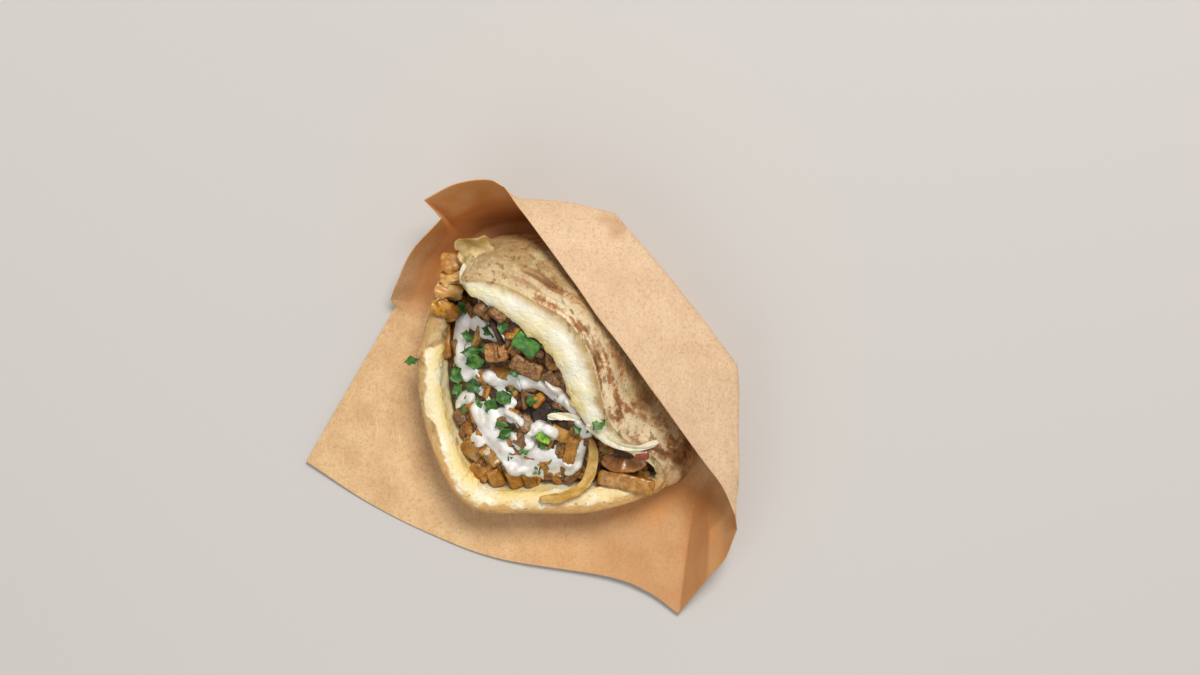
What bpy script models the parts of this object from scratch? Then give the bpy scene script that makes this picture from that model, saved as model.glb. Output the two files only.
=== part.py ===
"""A doner kebab sandwich: a thick flatbread pocket lying in its open kraft paper bag.

The pocket lies on its lower layer, its mouth turned up and towards 230 degrees. Lengths below are
in millimetres and are put into metres as each mesh is made. +Z is up, and the origin is on the
underside of the bag, under the middle of the bread.
"""

import math

import bmesh
import bpy
import numpy as np
from mathutils import Vector
from mathutils.bvhtree import BVHTree

MM = 0.001
GAP = 0.35

# The pocket's own axes in plan: out of the mouth, and along the mouth to its right-hand end.
MOUTH_TURN = math.radians(230)
OUT = np.array([math.cos(MOUTH_TURN), math.sin(MOUTH_TURN)])
ALONG = np.array([-OUT[1], OUT[0]])

PAPER_THICK = 0.7
BREAD_FLOOR = PAPER_THICK + 0.3
BREAD_THICK = 12.0

# The crust's edge round the mouth: x, y, z, width of the cut crumb in plan, its fall to the
# pocket's inside, and 1 on the upper layer or 0 on the lower one.
MOUTH_EDGE = [
    (55, -57, 28, 4, 0, 0.5),
    (52, -63, 27, 7, 0, 0.1),
    (44, -68, 27, 10, 0, 0),
    (30, -73, 27, 13, 0, 0),
    (10, -77, 27, 14, 0, 0),
    (-20, -77, 27, 13, 0, 0),
    (-46, -76, 28, 13, 0, 0),
    (-61, -66, 28, 13, 0, 0),
    (-73, -43, 28, 13, 0, 0),
    (-80, -18, 28, 13, 0, 0),
    (-82, 3, 28, 13, 0, 0),
    (-79, 21, 29, 12, 0, 0),
    (-74, 38, 30, 10, 0, 0),
    (-69, 52, 31, 8, 0, 0.05),
    (-60, 64, 34, 4, 0, 0.3),
    (-51, 69, 43, 2, 0, 0.6),
    (-50, 61, 56, 4, 2, 0.9),
    (-54, 52, 67, 9, 5, 1),
    (-44, 51, 71, 11, 6, 1),
    (-29, 47, 73, 13, 7, 1),
    (-14, 39, 75, 16, 8, 1),
    (0, 31, 76, 18, 9, 1),
    (10, 19, 76, 18, 9, 1),
    (16, 5, 74, 17, 9, 1),
    (20, -11, 70, 15, 9, 1),
    (25, -26, 62, 11, 7, 1),
    (35, -36, 52, 6, 4, 1),
    (45, -42, 45, 4, 2, 1),
    (52, -49, 36, 4, 1, 0.85),
]
BREAD_AROUND = 68

# The rear end of the crust and of the pocket's inside: out of the mouth, along it, and height.
CRUST_REAR = (-69, 5, 26)
POCKET_REAR = (-55, 3, 31)
POCKET_FLOOR = BREAD_FLOOR + BREAD_THICK

# The closed end of the pocket, right of its mouth, stands out beyond the mouth's corner by a share
# that grows between two places along the mouth and is greatest at one step of the way to the lip.
TIP_SHARE = 0.17
TIP_FROM, TIP_TO = 45, 80
TIP_WIDEST = 0.75

# The heap's middle, and a swell near the mouth's upper left: x, y, height and how far it spreads.
HEAP_MIDDLE = (-15, -28, 46)
HEAP_SWELL = (-42, 24, 10, 20)
HEAP_AROUND = 48

# Strips of meat, onion and pepper in the heap: from x, y to x, y, width, thickness, height above it.
FUSED_STRIPS = [
    (-46, 38, -40, 33, 9, 7, 1.5),
    (-38, 37, -31, 31, 8, 6, 1.5),
    (-10, 2, -4, -6, 8, 6, 1.5),
    (-41, 3, -29, 0, 7, 4, 1.5),
    (-47, 1, -41, -4, 6, 5, 2.0),
    (-51, -15, -48, -26, 6, 5, 2.0),
    (-31, -20, -25, -22, 5, 5, 1.5),
    (-8, -29, 3, -34, 8, 5, 1.0),
    (5, -33, 2, -48, 7, 6, 2.0),
    (-24, -23, -18, -30, 8, 6, 0.5),
    (-26, -33, -20, -37, 8, 6, 1.0),
    (-57, -38, -46, -46, 9, 5, 0.5),
    (-45, -40, -36, -49, 9, 5, 0.5),
    (-52, -51, -42, -57, 9, 7, 1.5),
    (-41, -52, -37, -60, 8, 7, 1.5),
    (-30, -52, -27, -61, 8, 7, 1.5),
    (-22, -53, -19, -61, 6, 6, 1.0),
    (-67, 29, -66, 9, 6, 5, 1.5),
    (-61, 19, -59, 10, 5, 4, 1.3),
    (-60, -20, -56, -27, 6, 5, 0.5),
    (1, -59, 8, -50, 6, 5, 1.0),
    (18, -38, 27, -41, 6, 5, 0.5),
    (24, -54, 34, -57, 7, 5, 0.5),
    (40, -53, 46, -56, 6, 5, 0.5),
    (3, -14, 8, -24, 7, 5, 0.5),
]

# Yoghurt sauce: width and thickness of a band, then the places that its middle passes.
SAUCE_BANDS = [
    (15, 5, [(-59, 33), (-60, 25), (-57, 15), (-55, 3)]),
    (9, 4, [(-49, 28), (-44, 24), (-37, 21)]),
    (9, 5, [(-41, -1), (-32, -4), (-24, 1)]),
    (8, 5, [(-25, -5), (-16, -4), (-6, -9), (5, -17)]),
    (8, 4, [(-36, -5), (-30, -15)]),
    (7, 4, [(-53, -11), (-60, -16), (-63, -24), (-60, -31)]),
    (9, 4, [(-60, -31), (-51, -36), (-45, -31)]),
    (13, 5, [(-45, -20), (-40, -30), (-33, -41), (-27, -50)]),
    (12, 4, [(-19, -43), (-16, -55), (-3, -58)]),
    (11, 4, [(-17, -42), (-7, -46), (-2, -54)]),
    (6, 4, [(-1, -56), (7, -47), (11, -36)]),
    (9, 4, [(-14, -29), (-7, -31)]),
]

# Chopped parsley on the heap: x, y, length, turn in degrees.
PARSLEY = [
    (-51, 13, 12, 10), (-49, 7, 12, 190), (-43, 15, 8, 60), (-60, 0, 11, 100), (-59, -9, 11, 300),
    (-50, -6, 11, 345), (-33, -12, 10, 20), (-40, -17, 11, 250), (-47, -15, 6, 110), (-55, -18, 8, 10),
    (-34, -26, 9, 330), (-32, -32, 11, 20), (-40, 24, 10, 340), (-33, 26, 8, 80), (-57, 37, 8, 300),
    (-53, 21, 9, 335), (-28, -7, 6, 35), (7, -29, 7, 300), (-26, 2, 8, 15), (-17, -13, 9, 20),
    (-15, -33, 8, 330), (-22, -41, 6, 5), (-29, 10, 8, 310), (-12, -38, 6, 20),
]

# The bag, as columns that run out from under the bread: the place where the paper leaves the floor,
# the middle or fold of the wall or flap, and the cut edge; then 1 on the folded-over front panel.
# BAG_STEP is about how far apart the columns of the mesh stand at the cut edge.
BAG_COLUMNS = [
    ((75, -65), (69.5, -95, 1.5), (64, -137, 3.0), 0),
    ((79, -62), (80.5, -87, 20), (79, -114, 22), 0),
    ((81, -59), (88, -79, 24), (88, -103, 27), 0),
    ((83, -54), (93, -70, 31), (94.5, -85, 35), 0),
    ((86, -48), (95, -60, 41), (93, -76, 45), 0),
    ((87, -42), (95, -50, 43), (86, -61, 50), 0.6),
    ((90, -25), (95, -30, 44), (75, -46, 56), 1),
    ((91, -8), (95, -8, 45), (59, -24, 64), 1),
    ((89, 4), (94, 6, 45), (46, -6, 69), 1),
    ((74, 25), (73, 34, 49), (31, 15, 73), 1),
    ((50, 55), (50, 62, 51), (18, 32, 74), 1),
    ((27, 80), (27, 88, 52), (6, 49, 70), 1),
    ((4, 87), (0, 94, 56), (-13, 75, 66), 1),
    ((-25, 87), (-29, 96, 42), (-32, 101, 62), 0.2),
    ((-38, 85), (-42, 96, 38), (-41, 105, 62), 0),
    ((-48, 81), (-53, 92, 34), (-58, 103, 58), 0),
    ((-56, 75), (-65, 85, 27), (-76, 95, 50), 0),
    ((-61, 70), (-65, 79, 23), (-67, 86, 44), 0),
    ((-67, 62), (-76, 66, 17), (-84, 69, 35), 0),
    ((-73, 50), (-83, 51, 11), (-94, 51, 24), 0),
    ((-78, 38), (-88, 41, 5), (-99, 42, 11), 0),
    ((-81, 29), (-89, 33, 1.2), (-97, 38, 5), 0),
    ((-86, 5), (-100, 3, 0.6), (-118, 2, 4), 0),
    ((-83, -28), (-107, -30, 0.4), (-136, -29, 3.5), 0),
    ((-79, -43), (-111, -46, 0.4), (-148, -50, 3), 0),
    ((-66, -64), (-87, -69, 0.4), (-112, -74, 1), 0),
    ((-48, -77), (-62, -84, 0.4), (-77, -91.5, 1), 0),
    ((-18, -80), (-28, -92, 0.6), (-38, -105.5, 2), 0),
    ((22, -79), (22, -97, 1.4), (22, -115, 4.5), 0),
    ((52, -72), (49, -98, 1.6), (46, -124, 4), 0),
]
BAG_STEP = 10

# Pieces that are nodes of their own: name, places of the middle in plan, or with its height too,
# its height above the heap where the places give none, width, thickness, look, lean in degrees and
# sides.
TOPPINGS = [
    ("green_pepper_chunk", [(-26, 21), (-20, 17), (-14, 13)], 3.0, 10, 4, "pepper", 15, 8),
    ("meat_cube", [(-42, 12), (-32, 13)], 3.0, 10, 9, "meat", 0, 8),
    ("meat_slab", [(-28, 9), (-20, 4), (-12, 1)], 2.5, 9, 6, "meat", 8, 6),
    (
        "onion_arc",
        [(14, -34, 46), (15, -44, 41), (14, -54, 37.5), (9, -62, 35.5), (-2, -67, 35.5), (-14, -68.5, 35.5)],
        0, 5.6, 2.6, "onion", 35, 6,
    ),
    ("golden_slice", [(21, -44), (28, -49), (37, -49), (44, -45)], 2.0, 9, 3, "onion", -10, 6),
    ("tomato_bit", [(38.5, -44, 46), (45.5, -43, 45)], 0, 5, 3.5, "tomato", 0, 6),
    ("grilled_strip", [(18, -56, 31), (33, -59, 33), (49, -63, 34)], 0, 9, 4, "cooked", 10, 6),
    ("spring_onion_strip", [(-15, -32), (-8, -36)], 4.5, 4.5, 1.6, "spring", 0, 6),
    ("cabbage_shred_left", [(-9, -22), (0, -22), (9, -22)], 5.0, 4, 2.0, "cabbage", 0, 6),
    (
        "cabbage_shred_right",
        [(12, -26, 62), (21, -33.5, 59), (31, -38, 54.8), (42, -39, 50.2), (51, -36, 47.2)],
        0, 4.4, 2.0, "cabbage", 20, 6,
    ),
    ("side_piece_top", [(-67, 60, 38), (-61, 62, 39.5), (-54, 63, 40)], 0, 9, 6, "cooked", 12, 6),
    ("side_piece_upper", [(-68, 52.5, 37), (-62, 54, 37), (-56, 55, 35.5)], 0, 6.4, 5, "cooked", -8, 6),
    ("side_piece_middle", [(-71, 47, 37), (-65, 46.3, 36), (-58.5, 45, 33)], 0, 7.2, 5.5, "cooked", 8, 6),
    ("side_piece_low", [(-72.5, 39, 37), (-67, 36, 35.5), (-61.5, 32.5, 33)], 0, 8.2, 5, "cooked", 15, 6),
    (
        "pale_leaf",
        [(-58, 67.5, 46), (-52, 68, 49.5), (-45, 68.5, 52.5), (-38, 70, 54)],
        0, 10, 1.8, "leaf", 20, 6,
    ),
    ("parsley_outside", [(-89, 7, 31), (-85, 8, 33.5), (-79, 9, 35)], 0, 6, 1.4, "parsley", 0, 4),
]

# How the surfaces are stepped: the crust from the rear to its lip, the lip over its crown, the
# inside from the lip to the rear, and the filling from the pocket's rear to the heap's middle.
CRUST_STEPS = [0.015, 0.07, 0.16, 0.3, 0.48, 0.64, 0.76, 0.86, 0.94]
LIP_STEPS = 5
INSIDE_STEPS = [0.9, 0.78, 0.62, 0.42, 0.22, 0.05]
FILLED_STEPS = [0.06, 0.22, 0.42, 0.62, 0.78, 0.9]
HEAP_STEPS = [0.9, 0.78, 0.64, 0.5, 0.36, 0.2, 0.08]

CRUST_BUBBLE, CRUST_BUBBLE_HEIGHT = 17, 0.9
HEAP_BUBBLE, HEAP_BUBBLE_HEIGHT = 9, 1.2
HEAP_INSET, HEAP_INNER = 2.0, 40
SAUCE_LIFT = 1.6
FLAKE_LIFT = 3.4
FLAKE_THICK = 1.4
PAPER_OVER_BREAD = 1.4

parts = None
cutters = None


def clear_scene():
    for item in list(bpy.data.objects):
        bpy.data.objects.remove(item, do_unlink=True)


def new_collection(name):
    made = bpy.data.collections.new(name)
    bpy.context.scene.collection.children.link(made)
    return made


def material(name, colour, roughness):
    made = bpy.data.materials.new(name)
    made.use_nodes = True
    shader = made.node_tree.nodes["Principled BSDF"]
    shader.inputs["Base Color"].default_value = (*colour, 1.0)
    shader.inputs["Roughness"].default_value = roughness
    shader.inputs["Metallic"].default_value = 0.0
    made.diffuse_color = (*colour, 1.0)
    return made


def mesh_object(name, bm, look, collection):
    """Turns a bmesh into a shaded object of the collection."""
    bmesh.ops.recalc_face_normals(bm, faces=bm.faces)
    mesh = bpy.data.meshes.new(name)
    bm.to_mesh(mesh)
    bm.free()
    mesh.shade_smooth()
    mesh.set_sharp_from_angle(angle=math.radians(50))
    mesh.materials.append(look)
    made = bpy.data.objects.new(name, mesh)
    collection.objects.link(made)
    return made


def closed_body(name, rings, look, collection):
    """A closed body over rings of points, each end shut by a fan on its own middle."""
    rings = np.asarray(rings) * MM
    bm = bmesh.new()
    rows = [[bm.verts.new(point) for point in ring] for ring in rings]
    for near, far in zip(rows, rows[1:]):
        for i in range(len(near)):
            j = (i + 1) % len(near)
            bm.faces.new((near[i], near[j], far[j]))
            bm.faces.new((near[i], far[j], far[i]))
    for row, ring in ((rows[0], rings[0]), (rows[-1], rings[-1])):
        middle = bm.verts.new(ring.mean(axis=0))
        for i in range(len(row)):
            bm.faces.new((row[i], row[(i + 1) % len(row)], middle))
    return mesh_object(name, bm, look, collection)


def closed_curve(rows, count):
    """A Catmull-Rom curve through the rows and back to the first, evenly spaced in its length."""
    rows = np.asarray(rows, float)
    at = np.linspace(0, len(rows), len(rows) * 24, endpoint=False)
    first = at.astype(int)
    part = (at - first)[:, None]
    p0, p1, p2, p3 = (rows[(first + step) % len(rows)] for step in (-1, 0, 1, 2))
    curve = 0.5 * (
        2 * p1
        + (p2 - p0) * part
        + (2 * p0 - 5 * p1 + 4 * p2 - p3) * part**2
        + (3 * p1 - p0 - 3 * p2 + p3) * part**3
    )
    curve = np.vstack([curve, curve[:1]])
    length = np.linalg.norm(np.diff(curve[:, :3], axis=0), axis=1)
    along = np.concatenate([[0], np.cumsum(length)])
    places = np.linspace(0, along[-1], count, endpoint=False)
    return np.stack([np.interp(places, along, column) for column in curve.T], axis=1)


def open_curve(points, count):
    """Points evenly spaced along a smooth path through a few places."""
    points = np.asarray(points, float)
    padded = np.vstack([2 * points[0] - points[1], points, 2 * points[-1] - points[-2]])
    at = np.linspace(0, len(points) - 1.0001, count)
    first = at.astype(int)
    part = (at - first)[:, None]
    p0, p1, p2, p3 = (padded[first + step] for step in range(4))
    return 0.5 * (
        2 * p1
        + (p2 - p0) * part
        + (2 * p0 - 5 * p1 + 4 * p2 - p3) * part**2
        + (3 * p1 - p0 - 3 * p2 + p3) * part**3
    )


def round_the_loop(values, passes):
    """Each value of a closed loop moved to the mean of itself and its two neighbours."""
    for _ in range(passes):
        values = 0.5 * values + 0.25 * (np.roll(values, 1, axis=0) + np.roll(values, -1, axis=0))
    return values


def mouth_loops():
    """The crust's edge, the crumb's inner edge and the upper-layer weight, all round the mouth."""
    curve = closed_curve(MOUTH_EDGE, BREAD_AROUND)
    crust = curve[:, :3]
    tangent = np.roll(crust, -1, axis=0) - np.roll(crust, 1, axis=0)
    inward = np.stack([tangent[:, 1], -tangent[:, 0]], axis=1)
    inward /= np.linalg.norm(inward, axis=1)[:, None]
    inward = round_the_loop(inward, 3)
    crumb = crust.copy()
    crumb[:, :2] += inward * curve[:, 3:4]
    crumb[:, 2] -= curve[:, 4]
    upper = np.clip(curve[:, 5], 0, 1)
    return crust, round_the_loop(crumb, 2), round_the_loop(upper, 2)


def pocket_ring(loop, upper, rear, floor, t, tip=0.0):
    """The pocket's wall at t, from 0 at the rear end to 1 at the mouth.

    Along the mouth the wall widens as a rounded oval, and at its closed end it stands out by the
    share tip. The upper layer climbs from the rear to the lip; the lower one drops to the floor,
    lies flat on it and curls up to its lip.
    """
    out = loop[:, :2] @ OUT
    along = loop[:, :2] @ ALONG
    widen = (1 - (1 - t) ** 2.1) ** (1 / 2.1)
    reach = upper * t + (1 - upper) * (1 - (1 - t) ** 1.6)
    out = rear[0] + (out - rear[0]) * reach
    end = np.clip((along - TIP_FROM) / (TIP_TO - TIP_FROM), 0, 1)
    end = end * (0.3 + 0.7 * np.clip(2 * upper, 0, 1))
    stand = (t / TIP_WIDEST) ** 3 * (1 - t) / (1 - TIP_WIDEST)
    along = rear[1] + (along - rear[1]) * widen * (1 + tip * end * stand)
    climb = 0.5 * math.sqrt(1 - (1 - t) ** 2) + 0.5 * t
    high = rear[2] + (loop[:, 2] - rear[2]) * climb
    drop = max(0.0, 1 - t / 0.32) ** 2
    curl = max(0.0, (t - 0.62) / 0.38) ** 1.9
    low = floor + (rear[2] - floor) * drop + (loop[:, 2] - floor) * curl
    height = upper * high + (1 - upper) * low
    plan = out[:, None] * OUT + along[:, None] * ALONG
    return np.column_stack([plan, height])


def lip_ring(crust, crumb, upper, turn):
    """The lip at a turn from 0 at the crust's edge to pi at the crumb's inner edge."""
    across = crumb - crust
    tangent = np.roll(crust, -1, axis=0) - np.roll(crust, 1, axis=0)
    up = np.cross(tangent, across)
    up *= np.sign(up[:, 2:3])
    up /= np.linalg.norm(up, axis=1)[:, None]
    crown = np.linalg.norm(across, axis=1) * (0.42 - 0.2 * upper)
    middle = 0.5 * (crust + crumb) - 0.5 * across * math.cos(turn)
    return middle + up * (crown * math.sin(turn))[:, None]


def bread_rings():
    crust, crumb, upper = mouth_loops()
    rings = [pocket_ring(crust, upper, CRUST_REAR, BREAD_FLOOR, t, TIP_SHARE) for t in CRUST_STEPS]
    rings += [lip_ring(crust, crumb, upper, math.pi * k / LIP_STEPS) for k in range(LIP_STEPS + 1)]
    rings += [pocket_ring(crumb, upper, POCKET_REAR, POCKET_FLOOR, t) for t in INSIDE_STEPS]
    return rings


def bubbles(points, size, height):
    """A soft, repeatable swelling of a surface, from three crossed sine waves."""
    x, y, z = (np.asarray(points).T / size) * math.pi
    return height * np.sin(x + 0.6 * y) * np.sin(y - 0.4 * z + 1.3) * np.cos(0.7 * z + 0.5 * x)


def puffed(rings):
    """Moves each ring's points up or down a little where the bread isn't flat on the floor."""
    made = []
    for ring in rings:
        lifted = ring.copy()
        free = np.clip((ring[:, 2] - BREAD_FLOOR - 6) / 10, 0, 1)
        lifted[:, 2] += free * bubbles(ring, CRUST_BUBBLE, CRUST_BUBBLE_HEIGHT)
        made.append(lifted)
    return made


def heap_rings():
    """The filling: the pocket's inside, a gap clear of the bread, then the heap to its middle."""
    _, crumb, upper = mouth_loops()
    pick = np.arange(HEAP_AROUND) * BREAD_AROUND // HEAP_AROUND
    crumb = crumb[pick]
    upper = upper[pick]
    middle = np.array([*HEAP_MIDDLE[:2], 0])
    inner = middle + [0, 0, HEAP_INNER]
    rings = []
    for t in FILLED_STEPS:
        ring = pocket_ring(crumb, upper, POCKET_REAR, POCKET_FLOOR, t)
        towards = inner - ring
        towards /= np.linalg.norm(towards, axis=1)[:, None]
        rings.append(ring + towards * HEAP_INSET)
    edge = rings[-1]
    for share in HEAP_STEPS:
        ring = middle + (edge - middle) * [share, share, 1]
        blend = share**1.4
        ring[:, 2] = edge[:, 2] * blend + HEAP_MIDDLE[2] * (1 - blend)
        apart = np.hypot(ring[:, 0] - HEAP_SWELL[0], ring[:, 1] - HEAP_SWELL[1]) / HEAP_SWELL[3]
        ring[:, 2] += HEAP_SWELL[2] * np.exp(-(apart**2)) * (1 - share**4)
        ring[:, 2] += bubbles(ring, HEAP_BUBBLE, HEAP_BUBBLE_HEIGHT)
        rings.append(ring)
    return rings


def sweep(name, points, width, thick, look, collection, sides=6, box=0.7, ends=0.55, turn=0.0):
    """A strip: an oval carried along the points, flat side up, a little smaller at both ends.

    width and thick are one number or one for each point; box below 1 squares the oval's corners.
    """
    points = np.asarray(points, float)
    tangent = np.gradient(points, axis=0)
    tangent /= np.linalg.norm(tangent, axis=1)[:, None]
    side = np.cross([0, 0, 1], tangent)
    side /= np.linalg.norm(side, axis=1)[:, None]
    up = np.cross(tangent, side)
    size = np.ones(len(points))
    size[[0, -1]] = ends
    half = np.broadcast_to(np.asarray(width, float) / 2, len(points)) * size
    deep = np.broadcast_to(np.asarray(thick, float) / 2, len(points)) * size
    angle = (np.arange(sides) + 0.5) * 2 * math.pi / sides
    across = np.sign(np.cos(angle)) * np.abs(np.cos(angle)) ** box
    over = np.sign(np.sin(angle)) * np.abs(np.sin(angle)) ** box
    lean = math.radians(turn)
    flat = across * math.cos(lean)
    rings = []
    for i in range(len(points)):
        sideways = half[i] * flat - deep[i] * over * math.sin(lean)
        upwards = deep[i] * over * math.cos(lean) + half[i] * across * math.sin(lean)
        rings.append(points[i] + np.outer(sideways, side[i]) + np.outer(upwards, up[i]))
    return closed_body(name, rings, look, collection)


def surface_of(item):
    return BVHTree.FromPolygons(
        [vertex.co for vertex in item.data.vertices],
        [face.vertices[:] for face in item.data.polygons],
    )


def height_on(surface, x, y, otherwise):
    """The surface's height in mm at a plan place, looked for from above."""
    hit = surface.ray_cast(Vector((x * MM, y * MM, 0.3)), Vector((0, 0, -1)))
    return otherwise if hit[0] is None else hit[0].z / MM


def lying(surface, plan, lift, count):
    """A path in plan laid on a surface, its middle line at a lift above it."""
    path = open_curve(plan, count)
    heights = np.array([height_on(surface, x, y, 30.0) for x, y in path])
    heights = np.convolve(np.pad(heights, 1, mode="edge"), [0.25, 0.5, 0.25], mode="valid")
    return np.column_stack([path, heights + lift])


def join_all(item, collection):
    """One union of the item with every object of the collection, applied, which are then removed."""
    modifier = item.modifiers.new("fuse", "BOOLEAN")
    modifier.operation = "UNION"
    modifier.operand_type = "COLLECTION"
    modifier.collection = collection
    modifier.solver = "MANIFOLD"
    apply_modifiers(item)
    for other in list(collection.objects):
        bpy.data.objects.remove(other, do_unlink=True)
    bpy.data.collections.remove(collection)


def cut_away(item, collection):
    """One difference of the item with every object of the collection, applied."""
    modifier = item.modifiers.new("clear", "BOOLEAN")
    modifier.operation = "DIFFERENCE"
    modifier.operand_type = "COLLECTION"
    modifier.collection = collection
    modifier.solver = "MANIFOLD"
    apply_modifiers(item)


def apply_modifiers(item):
    bpy.context.view_layer.update()
    graph = bpy.context.evaluated_depsgraph_get()
    mesh = bpy.data.meshes.new_from_object(item.evaluated_get(graph))
    item.modifiers.clear()
    item.data = mesh


def keep_largest(item):
    """Drops loose scraps and fills sealed hollows: only the largest closed shell stays."""
    bm = bmesh.new()
    bm.from_mesh(item.data)
    bmesh.ops.triangulate(bm, faces=bm.faces)
    bm.faces.ensure_lookup_table()
    seen = set()
    shells = []
    for start in bm.faces:
        if start in seen:
            continue
        shell = [start]
        seen.add(start)
        for face in shell:
            for edge in face.edges:
                for other in edge.link_faces:
                    if other not in seen:
                        seen.add(other)
                        shell.append(other)
        shells.append(shell)
    shells.sort(key=len)
    for shell in shells[:-1]:
        bmesh.ops.delete(bm, geom=shell, context="FACES")
    bm.to_mesh(item.data)
    bm.free()


def make_bread(look):
    return closed_body("flatbread_pocket", puffed(bread_rings()), look, parts)


def grown_copy(item, by, collection):
    """A cutter: the item's shape with each corner moved out along its normal by some millimetres."""
    mesh = item.data.copy()
    normals = [vertex.normal.copy() for vertex in mesh.vertices]
    for vertex, normal in zip(mesh.vertices, normals):
        vertex.co += normal * (by * MM)
    made = bpy.data.objects.new(item.name + " clearance", mesh)
    made.hide_render = True
    made.display_type = "WIRE"
    collection.objects.link(made)
    return made


def make_bag(look, bread):
    """The kraft bag: one sheet lofted out along its columns, given its thickness by Solidify."""
    over_bread = surface_of(bread)
    columns = []
    rows = BAG_COLUMNS + BAG_COLUMNS[:1]
    for first, second in zip(rows, rows[1:]):
        steps = max(1, round(math.dist(first[2], second[2]) / BAG_STEP))
        for step in range(steps):
            part = step / steps
            base, fold, edge, over = (
                np.asarray(a, float) * (1 - part) + np.asarray(b, float) * part
                for a, b in zip(first, second)
            )
            columns.append(bag_column(base, fold, edge, float(over), over_bread))
    columns = np.array(columns) * MM
    bm = bmesh.new()
    middle = bm.verts.new((0, 0, 0.5 * PAPER_THICK * MM))
    grid = [[bm.verts.new(point) for point in column] for column in columns]
    for near, far in zip(grid, grid[1:] + grid[:1]):
        bm.faces.new((middle, near[0], far[0]))
        for i in range(len(near) - 1):
            bm.faces.new((near[i], near[i + 1], far[i + 1]))
            bm.faces.new((near[i], far[i + 1], far[i]))
    made = mesh_object("kraft_paper_bag", bm, look, parts)
    solidify = made.modifiers.new("thickness", "SOLIDIFY")
    solidify.thickness = PAPER_THICK * MM
    solidify.offset = 0.0
    return made


def bag_column(base, fold, edge, over, bread):
    """One column of the sheet: the floor, the wall or flap to its fold, and on to the cut edge."""
    lowest = 0.5 * PAPER_THICK
    floor = np.array([base[0], base[1], 0.0])
    points = [floor]
    points += [floor + (fold - floor) * share for share in (0.5, 1.0)]
    points += [fold + (edge - fold) * share for share in (0.34, 0.68, 1.0)]
    points = np.array(points)
    points[:, 2] += lowest
    if over > 0.5:
        for point in points[3:]:
            point[2] = max(point[2], height_on(bread, point[0], point[1], 0.0) + PAPER_OVER_BREAD)
    return points


def make_heap(looks):
    core = closed_body("filling_heap", heap_rings(), looks["meat"], parts)
    surface = surface_of(core)
    fused = new_collection("fused pieces")
    for i, (x0, y0, x1, y1, width, thick, lift) in enumerate(FUSED_STRIPS):
        path = lying(surface, [(x0, y0), (x1, y1)], lift, 3)
        sweep(f"strip {i}", path, width, thick, looks["meat"], fused, turn=(i % 3 - 1) * 12)
    for i, (width, thick, plan) in enumerate(SAUCE_BANDS):
        path = lying(surface, plan, SAUCE_LIFT, len(plan))
        for k, (here, there) in enumerate(zip(path, path[1:])):
            reach = (there - here) * (0.3 * width / np.linalg.norm(there - here))
            dab = [here - reach, here, there, there + reach]
            swell = 1.0 + 0.07 * math.sin(2.4 * k + i)
            broad, deep = width * swell, thick * swell
            sweep(f"sauce {i} {k}", dab, broad, deep, looks["sauce"], fused, sides=5, box=0.9)
    for i, (x, y, length, turn) in enumerate(PARSLEY):
        flake(f"parsley {i}", surface, x, y, length, turn, looks["parsley"], fused)
    join_all(core, fused)
    keep_largest(core)
    return core, surface


def flake(name, surface, x, y, length, turn, look, collection):
    """A chopped leaf: a thin bent blade, widest in its middle."""
    ahead = np.array([math.cos(math.radians(turn)), math.sin(math.radians(turn))]) * length / 2
    plan = [(x - ahead[0], y - ahead[1]), (x, y), (x + ahead[0], y + ahead[1])]
    path = lying(surface, plan, FLAKE_LIFT, 3)
    path[:, 2] = 0.5 * path[:, 2] + 0.5 * path[:, 2].mean() + [0.0, 0.6, 0.0]
    width = length * np.array([0.4, 0.66, 0.35])
    return sweep(name, path, width, FLAKE_THICK, look, collection, sides=4, box=1.0)


def make_toppings(looks, surface):
    """Every larger piece that shows on its own, as a node and, a little grown, as a cutter."""
    for name, places, lift, width, thick, look, lean, sides in TOPPINGS:
        count = max(4, 2 * len(places) - 1)
        if len(places[0]) == 2:
            path = lying(surface, places, lift, count)
            path[:, 2] = 0.5 * (path[:, 2] + path[:, 2].mean())
        else:
            path = open_curve(places, count)
        shape = {"sides": sides, "box": 0.6, "turn": lean}
        sweep(name, path, width, thick, looks[look], parts, ends=0.7, **shape)
        ahead = (path[-1] - path[-2]) / np.linalg.norm(path[-1] - path[-2]) * GAP
        back = (path[0] - path[1]) / np.linalg.norm(path[0] - path[1]) * GAP
        path[0] += back
        path[-1] += ahead
        wide, deep = width + 2 * GAP, thick + 2 * GAP
        cutter = sweep(name + " clearance", path, wide, deep, looks[look], cutters, ends=0.75, **shape)
        cutter.hide_render = True
        cutter.display_type = "WIRE"


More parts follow.
